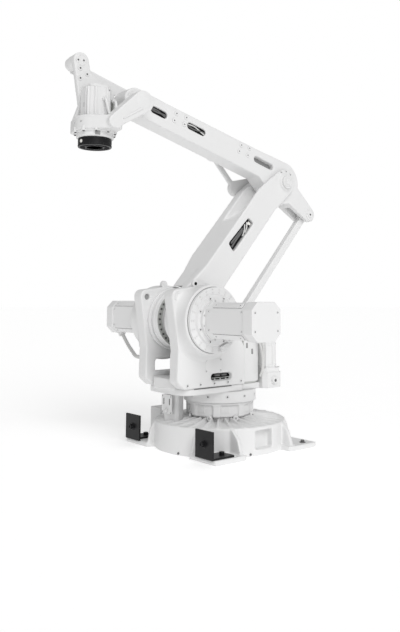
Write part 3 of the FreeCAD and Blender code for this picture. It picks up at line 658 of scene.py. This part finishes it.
# %% Motor covers
COVER_SLOPE = 0.088
STRIP_FROM, STRIP_TO = 0.415, 0.672
CORNERS = [(front, top) for front in (1, -1) for top in (1, -1)]
for label, side in SIDES.items():
    for front, top in CORNERS:
        slope = np.array([front, 0, top]) / math.sqrt(2)
        across = np.array([-front, 0, top]) / math.sqrt(2)
        name = f"cover_{label}_{'front' if front > 0 else 'rear'}_{'top' if top > 0 else 'low'}"
        seat = on_axis_2(side, 0, front * COVER_SLOPE, top * COVER_SLOPE)
        ends = sorted((side * STRIP_FROM, side * STRIP_TO))
        plate(name + "_strip", "swivel", "sheet",
              rectangle(ends[0], -0.0165, ends[1], 0.0165, 0.004),
              seat, LEFT, across, slope, 0.0045, edge=0.0018)
        plate(name + "_groove", "swivel", "iron",
              rectangle(ends[0] - 0.0018, -0.0183, ends[1] + 0.0018, 0.0183, 0.005),
              seat, LEFT, across, slope, 0.0007, edge=0.0004)
        sunk_screws(name + "_screws", "swivel",
                    [seat + LEFT * side * y + slope * 0.004
                     for y in (STRIP_FROM + 0.02, STRIP_TO - 0.02)], slope, 0.0042)
    out = (0, side, 0)
    sunk_screws("cover_end_screws_" + label, "swivel",
                [on_axis_2(side, 0.768, x, z) for x in (-0.088, 0.088) for z in (-0.052, 0.052)],
                out, 0.0040, collar=1.6)
    sunk_screws("cover_front_screws_" + label, "swivel",
                [on_axis_2(side, y, 0.106, z) for y in (0.385, 0.675) for z in (-0.055, 0.055)],
                FORWARD, 0.0035)
    drain = math.radians(-112)
    ray = np.array([math.cos(drain), 0, math.sin(drain)])
    plate("flange_clamp_" + label, "swivel", "cast", rectangle(-0.016, -0.034, 0.016, 0.034, 0.004),
          on_axis_2(side, FLANGE_FACE) + ray * 0.176, ray, np.cross(ray, LEFT), out, 0.020,
          edge=0.003)

# %% Upright motor, its pipes and the rear hood
MOTOR_AXIS = np.array([-0.275, 0.150, 0.0])
MOTOR_RIB_TURN = 0.9
MOTOR_RIB_OUT = np.array([math.cos(MOTOR_RIB_TURN), math.sin(MOTOR_RIB_TURN), 0])
MOTOR_RIB_SEAT, MOTOR_RIB_MIDDLE = 0.0705, 0.572
motor_rib = rectangle(-0.100, -0.007, 0.100, 0.007, 0.003)
turned("axis_1_motor_bands", "swivel", "sheet", [MOTOR_AXIS + UP * z for z in (0.505, 0.640)], UP,
       [(0.0715, -0.006), (0.0755, -0.004), (0.0755, 0.004), (0.0715, 0.006)], 64)
turned("axis_1_motor_cap", "swivel", "sheet", MOTOR_AXIS + UP * 0.689, UP,
       [(0.066, 0.0), (0.066, 0.006), (0.060, 0.012), (0.020, 0.014)], 48)
plate("axis_1_motor_ribs", "swivel", "sheet", motor_rib,
      MOTOR_AXIS + MOTOR_RIB_OUT * MOTOR_RIB_SEAT + UP * MOTOR_RIB_MIDDLE,
      UP, np.cross(UP, MOTOR_RIB_OUT), MOTOR_RIB_OUT, 0.007, edge=0.003)
plate("axis_1_motor_ribs_left", "swivel", "sheet", motor_rib,
      MOTOR_AXIS + LEFT * MOTOR_RIB_SEAT + UP * MOTOR_RIB_MIDDLE, UP, FORWARD, LEFT, 0.007,
      edge=0.003)
cap_screws("axis_1_motor_screws", "swivel", "shade",
           [MOTOR_AXIS + (x, y, 0.488) for x in (-0.062, 0.062) for y in (-0.062, 0.062)], UP,
           0.0070)
turned("mount_eye", "swivel", "cast", MOTOR_AXIS + (0, 0.092, 0.408), LEFT,
       [(0.024, -0.002), (0.024, 0.005), (0.020, 0.008), (0.012, 0.008), (0.009, 0.004)], 32)
turned("mount_eye_screw", "swivel", "iron", MOTOR_AXIS + (0, 0.096, 0.408), LEFT,
       [(0.0088, -0.002), (0.0088, 0.003), (0.005, 0.0035)], 16)
pipes("motor_pipes", "swivel", "jacket", [
    [(-0.172, 0.200, 0.700), (-0.180, 0.222, 0.660), (-0.186, 0.228, 0.580), (-0.184, 0.226, 0.500),
     (-0.178, 0.220, 0.452)],
    [(-0.150, 0.202, 0.690), (-0.158, 0.226, 0.640), (-0.170, 0.236, 0.560), (-0.168, 0.234, 0.490),
     (-0.160, 0.222, 0.440)],
], 0.0065)
plate("hood_marks", "swivel", "dim", rectangle(-0.008, -0.017, 0.008, 0.017, 0.002),
      [(-0.118, 0.190, 0.600), (-0.072, 0.190, 0.640)], FORWARD, UP, LEFT, 0.002)
plate("hood_seam", "swivel", "cast", rectangle(-0.062, -0.130, 0.062, 0.130, 0.010),
      (-0.1075, 0.190, 0.540), FORWARD, UP, LEFT, 0.0012)
for label, side in SIDES.items():
    plate("frame_sill_groove_" + label, "swivel", "iron",
          rectangle(-0.150, -0.0022, 0.150, 0.0022, 0.002),
          (0.230, side * 0.2122, 0.3985), FORWARD, UP, (0, side, 0), 0.0004, edge=0.0002)
FOOT_ROW = (-0.30, -0.19, -0.08, 0.03, 0.13)
FOOT_ROW_DROP = -0.392
for name, side in (("frame_foot_screws", 1), ("frame_foot_screws_right", -1)):
    sunk_screws(name, "swivel", [on_axis_2(side, HOUSING_FACE, x, FOOT_ROW_DROP) for x in FOOT_ROW],
                side * LEFT, 0.0055)

# %% [markdown]
# ## Hubs between the housings
# Between the housings two turning hubs meet the gearboxes, each with a ring of screws on its face.
# The crank's hub also has a lip round its rim, and under its screws a grey ring of painted shade.
# Painting the screws on would save faces, but they catch the light as real heads do. They ride with
# the crank and with the lower arm, so they turn with them. Each housing has a lifting lug on its top.

# %% Hub screws and lips
cap_screws("crank_hub_screws", "crank", "iron",
           ring_of(on_axis_2(-1, 0.035), LEFT, 0.168, 32), LEFT, 0.0070, 0.006)
turned("crank_hub_lip", "crank", "cast", on_axis_2(-1, 0.065), LEFT,
       [(0.1845, -0.026), (0.1885, -0.022), (0.1885, -0.004), (0.1845, 0.0)], 96)
turned("gear_ring_lip", "swivel", "cast", on_axis_2(-1, 0.110), LEFT,
       [(0.1945, -0.010), (0.1985, -0.007), (0.1985, 0.005), (0.1945, 0.008)], 96)
cap_screws("arm_hub_screws", "lower_arm", "iron",
           ring_of(on_axis_2(1, 0.035), -LEFT, 0.160, 32), -LEFT, 0.0075, 0.006)
# painted shade: a grey ring on the crank's hub face, where the face between the housings lies in
# shade
turned("crank_hub_face", "crank", "grey", on_axis_2(-1, 0.035), LEFT,
       [(0.1835, -0.002), (0.1825, 0.0006), (0.1480, 0.0006), (0.1470, -0.002)], 96)
for label, side in SIDES.items():
    lug = on_axis_2(side, 0.168, 0.045, 0.222)
    turned("lifting_lug_" + label, "swivel", "cast", lug - side * 0.010 * LEFT, side * LEFT,
           [(0.0240, 0.0), (0.0240, 0.018), (0.0220, 0.020), (0.0110, 0.020), (0.0100, 0.016)], 32)
    # painted shade: a near-black disc in the lug's hole
    turned("lifting_hole_" + label, "swivel", "hollow", lug + side * 0.010 * LEFT, side * LEFT,
           [(0.0100, -0.003), (0.0100, 0.0004)], 20)

# %% [markdown]
# ## Upper arm: slots, liners, cables and bosses
# The upper arm is a hollow casting. Three long slots show its dark inside, where the wrist motor's
# cables run. The slots are cut in the frame. Modelling the whole inside would be lost in the dark, so
# each slot is closed by a sheet of painted shade just under the arm's face, near-black in the two
# front slots and deeper and a paler grey in the rear one, and the two front ones get a few bowed
# cables before it. Groups of four bosses on the side carry tool hoses.

# %% Places on the two arms
UPPER_RISE = math.atan2(wrist[2] - elbow[2], wrist[0] - elbow[0])
UPPER_ALONG = np.array([math.cos(UPPER_RISE), 0, math.sin(UPPER_RISE)])
UPPER_ACROSS = np.array([-math.sin(UPPER_RISE), 0, math.cos(UPPER_RISE)])
LOWER_LEAN = math.atan2(shoulder[0] - elbow[0], elbow[2] - shoulder[2])
LOWER_ALONG = np.array([-math.sin(LOWER_LEAN), 0, math.cos(LOWER_LEAN)])
LOWER_ACROSS = np.array([math.cos(LOWER_LEAN), 0, math.sin(LOWER_LEAN)])
BEAM_FACE = 0.070


def on_upper(along, across, y):
    return np.array([elbow[0], y, elbow[2]]) + along * UPPER_ALONG + across * UPPER_ACROSS


def on_lower(along, across, y):
    return np.array([shoulder[0], y, shoulder[2]]) + along * LOWER_ALONG + across * LOWER_ACROSS


# %% Upper arm details
SLOTS = {"front": (1.1525, 0.045, 0.0645), "middle": (0.8425, 0.062, 0.0795),
         "rear": (0.210, 0.072, 0.097)}
for label, (along, across, half) in SLOTS.items():
    inside = rectangle(-half - 0.002, -0.0235, half + 0.002, 0.0235, 0.023)
    depth = 0.030 if label == "rear" else 0.058
    # painted shade: a near-black sheet in the front and middle slots and a dim grey one, set deeper,
    # in the rear slot, standing in for the shade inside the arm
    plate("slot_painted_shade_" + label, "upper_arm", "dim" if label == "rear" else "hollow", inside,
          on_upper(along, across, -depth), UPPER_ALONG, UPPER_ACROSS, LEFT, 2 * depth, sink=0.0)
cable_runs = []
for label, lift in (("front", 0.006), ("middle", 0.010)):
    along, across, half = SLOTS[label]
    for side in (1, -1):
        y = side * 0.061
        for low, high in ((-0.010, lift), (0.004, -lift)):
            cable_runs.append([on_upper(along - half + 0.004, across + low, y),
                               on_upper(along - half * 0.3, across + (low + high) / 2, y * 1.05),
                               on_upper(along + half * 0.3, across + high, y * 1.05),
                               on_upper(along + half - 0.004, across + high * 0.6, y)])
pipes("arm_cables_pale", "upper_arm", "jacket", cable_runs[4::2], 0.0045)
pipes("arm_cables_dark", "upper_arm", "iron", [*cable_runs[:4], *cable_runs[5::2]], 0.0050)
BOSSES = [(0.446, 0.114), (0.369, 0.122), (0.454, 0.064), (0.372, 0.067),
          (1.025, 0.095), (0.944, 0.102), (1.029, 0.043), (0.947, 0.051)]
for label, side in SIDES.items():
    sunk_screws("arm_bosses_" + label, "upper_arm",
                [on_upper(along, across, side * BEAM_FACE) for along, across in BOSSES],
                (0, side, 0), 0.0050, collar=3.4)
    turned("rear_pin_boss_" + label, "upper_arm", "cast",
           np.array([rear_pin[0], side * BEAM_FACE, rear_pin[2]]), (0, side, 0),
           [(0.043, -0.002), (0.041, 0.004), (0.033, 0.004), (0.031, 0.001), (0.022, 0.001),
            (0.020, 0.006), (0.010, 0.007)], 40)
    turned("rear_pin_screw_" + label, "upper_arm", "iron",
           np.array([rear_pin[0], side * (BEAM_FACE + 0.0065), rear_pin[2]]), (0, side, 0),
           [(0.0075, 0.0), (0.0075, 0.002), (0.004, 0.0025)], 16)

# %% [markdown]
# ## Lower arm: window and elbow
# A long window in the lower arm shows its dark inside, crossed near the top by a bright stay and by
# pale cables. It is closed by a near-black sheet of painted shade, as the slots are, since an open
# hollow would show light from the other side. The elbow's cap is turned with two raised rings, and
# the prong above it carries three screws.

# %% Lower arm details
WINDOW = rounded([(0.568, 0.0385), (0.577, 0.0915), (0.820, 0.0755), (0.820, 0.0345)], 0.0085)
# painted shade: a near-black sheet that closes the window and stands in for the shade inside the arm
plate("window_painted_shade", "lower_arm", "hollow", WINDOW, on_lower(0, 0, -0.100),
      LOWER_ALONG, LOWER_ACROSS, LEFT, 0.182, sink=0.0)
pipes("window_cables", "lower_arm", "jacket", [
    [on_lower(0.700, 0.036, 0.082), on_lower(0.735, 0.052, 0.089), on_lower(0.775, 0.074, 0.083)],
    [on_lower(0.735, 0.036, 0.083), on_lower(0.765, 0.050, 0.090), on_lower(0.800, 0.071, 0.083)],
], 0.0050)
pipes("window_cables_dark", "lower_arm", "iron", [
    [on_lower(0.575, 0.058, 0.082), on_lower(0.640, 0.064, 0.087), on_lower(0.730, 0.060, 0.082)],
    [on_lower(0.590, 0.078, 0.081), on_lower(0.660, 0.076, 0.086), on_lower(0.740, 0.070, 0.081)],
], 0.0070)
CAP_FACE = 0.126
cap_centre = np.array([elbow[0], CAP_FACE, elbow[2]])
turned("elbow_cap_rings", "lower_arm", "cast", cap_centre, LEFT,
       [(0.0450, -0.002), (0.0450, 0.0025), (0.0415, 0.0035), (0.0395, 0.0005), (0.0350, 0.0005),
        (0.0335, 0.0035), (0.0300, 0.0035), (0.0285, 0.0005)], 56)
STAY = [(0.800, 0.040), (0.812, 0.040), (0.812, 0.066), (0.786, 0.066)]
plate("window_stay", "lower_arm", "pin", STAY,
      on_lower(0, 0, 0.088), LOWER_ALONG, LOWER_ACROSS, LEFT, 0.004)
turned("elbow_cap_centre", "lower_arm", "cast", cap_centre, LEFT,
       [(0.022, -0.002), (0.021, 0.004), (0.012, 0.004), (0.010, 0.001)], 32)
sunk_screws("elbow_prong_screws", "lower_arm",
            ring_of(np.array([elbow[0], 0.100, elbow[2]]), LEFT, 0.080, 3, 50, 70), LEFT, 0.0050,
            collar=2.0)

# %% [markdown]
# ## Wrist: ribbed motor box and ring
# The wrist motor sits under a tall ribbed box on a stepped ring. The ribs could be an array modifier,
# but the box has only a few and they are spaced unevenly, so they are plates at listed places. The
# bent pipe is one path with a circle carried along it, and the ring's steps are turned lips.

# %% Wrist box and ring
FLANGE = np.array([flange[0], 0.0, 0.0])
BOX_TOP, BOX_FOOT = 2.207, 2.017
BOX_HALF = 0.075
box_middle = (BOX_TOP + BOX_FOOT) / 2
box_reach = (BOX_TOP - BOX_FOOT) / 2 - 0.004
plate("box_ribs_left", "wrist", "sheet", rectangle(-box_reach, -0.007, box_reach, 0.007, 0.003),
      [FLANGE + (x, BOX_HALF, box_middle) for x in (-0.030, 0.046)], UP, FORWARD, LEFT, 0.010,
      edge=0.003)
plate("box_ribs_front", "wrist", "sheet", rectangle(-box_reach, -0.006, box_reach, 0.006, 0.003),
      [FLANGE + (BOX_HALF, y, box_middle) for y in (0.026, 0.050)], UP, LEFT, FORWARD, 0.012,
      edge=0.003)
slope = np.array([1, 1, 0]) / math.sqrt(2)
slope_across = np.array([-1, 1, 0]) / math.sqrt(2)
plate("box_corner_strip", "wrist", "sheet",
      rectangle(-box_reach, -0.011, box_reach, 0.011, 0.004),
      FLANGE + (0.064, 0.064, box_middle), UP, slope_across, slope, 0.004, edge=0.002)
plate("box_corner_groove", "wrist", "shade",
      rectangle(-box_reach - 0.002, -0.0125, box_reach + 0.002, 0.0125, 0.004),
      FLANGE + (0.064, 0.064, box_middle), UP, slope_across, slope, 0.0008, edge=0.0005)
plate("box_window", "wrist", "shade", rectangle(-0.014, -0.005, 0.014, 0.005, 0.002),
      FLANGE + (BOX_HALF, -0.010, box_middle - 0.010), UP, LEFT, FORWARD, 0.0016)
plate("box_lid_tab", "wrist", "cast", rectangle(-0.012, -0.008, 0.012, 0.008, 0.003),
      FLANGE + (0.030, 0.030, BOX_TOP + 0.016), FORWARD, LEFT, UP, 0.010, edge=0.002)
sunk_screws("box_screws", "wrist",
            [FLANGE + (x, BOX_HALF, z) for x in (-0.047, 0.044)
             for z in (BOX_FOOT + 0.014, BOX_TOP - 0.012)], LEFT, 0.0035, collar=1.6)
pipes("box_pipe", "wrist", "cast", [
    [FLANGE + (-0.010, 0.079, 2.135), FLANGE + (-0.012, 0.096, 2.128),
     FLANGE + (-0.020, 0.104, 2.085), FLANGE + (-0.034, 0.106, 2.040),
     FLANGE + (-0.054, 0.106, 2.024), FLANGE + (-0.072, 0.106, 2.040),
     FLANGE + (-0.080, 0.104, 2.085), FLANGE + (-0.082, 0.094, 2.122),
     FLANGE + (-0.082, 0.070, 2.132)],
], 0.0085, sides=16)
turned("pipe_unions", "wrist", "cast",
       [FLANGE + (-0.010, 0.074, 2.135), FLANGE + (-0.082, 0.066, 2.132)], LEFT,
       [(0.0125, 0.0), (0.0125, 0.012), (0.0105, 0.014)], 6)
plate("box_side_plate", "wrist", "grey", [(-0.060, -0.070), (0.012, -0.070), (0.020, 0.030),
                                          (-0.020, 0.062), (-0.060, 0.040)],
      FLANGE + (-0.088, 0.040, 2.098), LEFT, UP, -FORWARD, 0.006, edge=0.002)
# painted shade: a near-black patch standing in for the shaded slot in the side plate
plate("box_side_slot", "wrist", "hollow", rectangle(-0.012, -0.022, 0.012, 0.022, 0.004),
      FLANGE + (-0.094, 0.022, 2.120), LEFT, UP, -FORWARD, 0.0015)
RING_TOP, RING_FOOT = 2.017, 1.944
turned("ring_lip", "wrist", "cast", FLANGE + UP * RING_TOP, UP,
       [(0.1275, -0.010), (0.1305, -0.007), (0.1305, -0.001), (0.126, 0.004), (0.092, 0.007)], 96)
turned("ring_step", "wrist", "cast", FLANGE + UP * RING_FOOT, UP,
       [(0.110, -0.018), (0.1205, -0.016), (0.1205, -0.004), (0.1275, 0.002)], 96)
turned("ring_lugs", "wrist", "cast", ring_of(FLANGE + UP * (RING_FOOT - 0.002), UP, 0.1235, 10, 9),
       UP, [(0.0105, -0.016), (0.0105, 0.012), (0.008, 0.015)], 16)
turned("ring_lug_screws", "wrist", "iron",
       ring_of(FLANGE + UP * (RING_FOOT - 0.018), UP, 0.1235, 10, 9), -UP,
       [(0.006, -0.002), (0.006, 0.005), (0.003, 0.0055)], 12)
for turn_deg in range(20, 351, 55):
    ray = ray_at(turn_deg)
    sunk_screws(f"ring_screw_{turn_deg:03d}", "wrist", [FLANGE + UP * 1.982 + ray * 0.1275], ray,
                0.0045, collar=1.7)
window_ray = ray_at(68)
plate("collar_window", "wrist", "dim", rectangle(-0.015, -0.022, 0.015, 0.022, 0.003),
      FLANGE + UP * 1.924 + window_ray * 0.1085, np.cross(UP, window_ray), UP, window_ray, 0.0045)

# %% [markdown]
# ## Cheek and near arm
# The cheek is bolted through five spot-faced bosses, and the near arm ends in a turned cap over the
# wrist's pivot. A cast ridge runs along the arm. It could be sculpted, but a narrow plate whose rim
# is rounded gives the same line of light.

# %% Cheek bosses and arm cap
CHEEK_FACE = -0.100
CHEEK_BOSSES = [(1.058, 2.406), (1.020, 2.409), (1.042, 2.356), (0.994, 2.326), (1.040, 2.293)]
sunk_screws("cheek_bosses", "wrist", [np.array([x, CHEEK_FACE, z]) for x, z in CHEEK_BOSSES], LEFT,
            0.0065, collar=2.4)
turned("cheek_top_ring", "wrist", "cast", np.array([1.036, CHEEK_FACE, 2.408]), LEFT,
       [(0.036, -0.002), (0.035, 0.0015), (0.031, 0.0025), (0.029, 0.0008)], 40)
WRIST_ARM_FACE = 0.200
turned("wrist_pivot_cap", "wrist", "cast", np.array([wrist[0], WRIST_ARM_FACE - 0.004, wrist[2]]),
       LEFT, [(0.054, -0.004), (0.053, 0.003), (0.049, 0.005), (0.020, 0.006)], 56)
turned("guide_end_disc", "guide_rod_upper", "cast",
       np.array([wrist[0] + 0.270, -0.236, wrist[2] + 0.278]), -LEFT,
       [(0.043, -0.002), (0.042, 0.001), (0.038, 0.002), (0.022, 0.002)], 48)

NEAR_ARM_END = (0.965, 2.000)
near_run = np.array([NEAR_ARM_END[0] - wrist[0], 0, NEAR_ARM_END[1] - wrist[2]])
near_run /= np.linalg.norm(near_run)
near_across = np.cross(LEFT, near_run)
RIDGE = rounded([(-0.055, -0.008), (0.110, -0.004), (0.110, 0.004), (-0.055, 0.008)], 0.003)
plate("near_arm_ridge", "wrist", "cast", RIDGE,
      np.array([wrist[0], WRIST_ARM_FACE, wrist[2]]) + near_run * 0.085 + near_across * 0.030,
      near_run, near_across, LEFT, 0.005, edge=0.003)

# %% [markdown]
# ## Turning disc
# The black disc has a few turned grooves, small teeth under its rim, a recess darkened with painted
# shade, six screws and one bright locating pin. A bump pattern could fake the grooves, but then the
# rim would stay smooth in outline, so they are part of a turned profile.

# %% Turning disc
DISC_TOP, TOOL_FACE = 1.895, flange[2]
turned("disc_grooves", "tool_disc", "black", FLANGE, UP,
       [(0.098, DISC_TOP - 0.006), (0.1008, DISC_TOP - 0.008), (0.1008, DISC_TOP - 0.016),
        (0.0990, DISC_TOP - 0.0175), (0.1008, DISC_TOP - 0.019), (0.1008, DISC_TOP - 0.030),
        (0.0985, DISC_TOP - 0.032)], 96)
turned("disc_teeth", "tool_disc", "black",
       ring_of(FLANGE + UP * (TOOL_FACE + 0.0075), UP, 0.0955, 36), UP,
       [(0.0052, -0.006), (0.0062, 0.0), (0.0052, 0.006)], 10)
# painted shade: a near-black ring in the recess under the disc
turned("disc_underside", "tool_disc", "hollow", FLANGE + UP * (TOOL_FACE + 0.0006), -UP,
       [(0.0880, -0.002), (0.0880, 0.0008), (0.0560, 0.0008), (0.0550, -0.002)], 64)
PIN_RAY = ray_at(8)
turned("disc_pin", "tool_disc", "pin", FLANGE + UP * (TOOL_FACE + 0.026) + PIN_RAY * 0.0985, PIN_RAY,
       [(0.0100, -0.002), (0.0100, 0.004), (0.0085, 0.0052), (0.0070, 0.0035)], 24)
cap_screws("disc_screws", "tool_disc", "iron",
           ring_of(FLANGE + UP * TOOL_FACE, UP, 0.064, 6, 30), -UP, 0.0055, 0.0005)

# %% [markdown]
# ## Base: neck, deck and feet
# The neck carries small bosses and panels, the two rear feet carry anchor screws, and the fork
# brackets get hexagon nuts with washers. The deck's ribs are in the frame already. Each fastener
# could be a linked copy of one mesh, but a turned profile at many centres is one piece to export.

# %% Neck, feet and bracket fasteners
NECK_RADIUS = 0.205
for index, turn_deg in enumerate(range(11, 371, 45)):
    ray = ray_at(turn_deg)
    beside = np.cross(UP, ray)
    plate(f"neck_panel_{index}", "base", "cast", rectangle(-0.042, -0.020, 0.042, 0.020, 0.006),
          ray * (NECK_RADIUS - 0.007) + UP * 0.244, beside, UP, ray, 0.0085, edge=0.002)
    turned(f"neck_boss_{index}", "base", "cast",
           ray * (NECK_RADIUS - 0.004) + UP * 0.196 + beside * 0.082, ray,
           [(0.017, -0.004), (0.017, 0.006), (0.015, 0.008), (0.008, 0.008)], 24)
    turned(f"neck_boss_screw_{index}", "base", "steel",
           ray * (NECK_RADIUS + 0.003) + UP * 0.196 + beside * 0.082, ray,
           [(0.007, 0.0), (0.007, 0.003), (0.004, 0.0035)], 12)
SLEW_RADIUS, SLEW_MIDDLE = 0.238, 0.330
for index, turn_deg in enumerate(range(2, 362, 30)):
    ray = ray_at(turn_deg)
    sunk_screws(f"slew_screw_{index:02d}", "swivel", [UP * SLEW_MIDDLE + ray * SLEW_RADIUS], ray,
                0.0055)
REAR_FOOT = (-0.342, 0.420, 0.030)
for name, side in (("foot_screw_m1_1", 1), ("foot_screw_m1_m1", -1)):
    turned(name, "base", "iron", np.array(REAR_FOOT) * (1, side, 1), UP,
           [(0.020, -0.002), (0.020, 0.003), (0.012, 0.003), (0.012, 0.014), (0.010, 0.016)], 18)
RISER_FRONT, RISER_MIDDLE = 0.352, -0.106
plate("riser_cover", "base", "sheet", rectangle(-0.055, -0.060, 0.055, 0.060, 0.006),
      (RISER_FRONT - 0.0006, RISER_MIDDLE, 0.275), LEFT, UP, FORWARD, 0.003)
# painted shade: near-black patches standing in for the shaded insides of the riser's two slots
plate("riser_slots", "base", "hollow", rectangle(-0.004, -0.020, 0.004, 0.020, 0.003),
      [(RISER_FRONT + 0.0012, RISER_MIDDLE + y, 0.292) for y in (-0.030, 0.030)],
      LEFT, UP, FORWARD, 0.0018)
sunk_screws("riser_screws", "base",
            [np.array([RISER_FRONT + 0.0022, RISER_MIDDLE + y, z]) for y in (-0.045, 0.045)
             for z in (0.225, 0.325)], FORWARD, 0.004)
turned("riser_union", "base", "cast", np.array([RISER_FRONT + 0.001, RISER_MIDDLE, 0.238]), FORWARD,
       [(0.015, 0.0), (0.015, 0.010), (0.012, 0.012), (0.012, 0.017), (0.007, 0.018)], 6)
for label, side in SIDES.items():
    nut = np.array([0.449, side * 0.375, 0.112])
    turned("bracket_washer_" + label, "base", "black", nut - (0.014, 0, 0), FORWARD,
           [(0.0235, -0.002), (0.0235, 0.003), (0.018, 0.004)], 32)
    turned("bracket_nut_" + label, "base", "black", nut - (0.002, 0, 0), FORWARD,
           [(0.0165, -0.004), (0.0165, 0.007), (0.0135, 0.010), (0.0085, 0.010), (0.008, 0.006)], 6)
    turned("bracket_back_screw_" + label, "base", "black", nut - (0.026, 0, 0), -FORWARD,
           [(0.0185, -0.001), (0.0185, 0.010), (0.015, 0.013)], 6)
DRAIN_RADIUS, DRAIN_HEIGHT = 0.427, 0.014
turned("drain_plugs", "base", "iron",
       [ray_at(turn_deg) * DRAIN_RADIUS + UP * DRAIN_HEIGHT for turn_deg in (14, 76)],
       (0.7, 0.7, 0), [(0.007, -0.010), (0.007, 0.003), (0.004, 0.004)], 12)

# %% [markdown]
# ## Finish
# The box of the finished robot is worked out.
# The pieces could be measured one by one, but the frame's own bounds take in all that is visible.

# %% Finish
bpy.context.view_layer.update()
low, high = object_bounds()
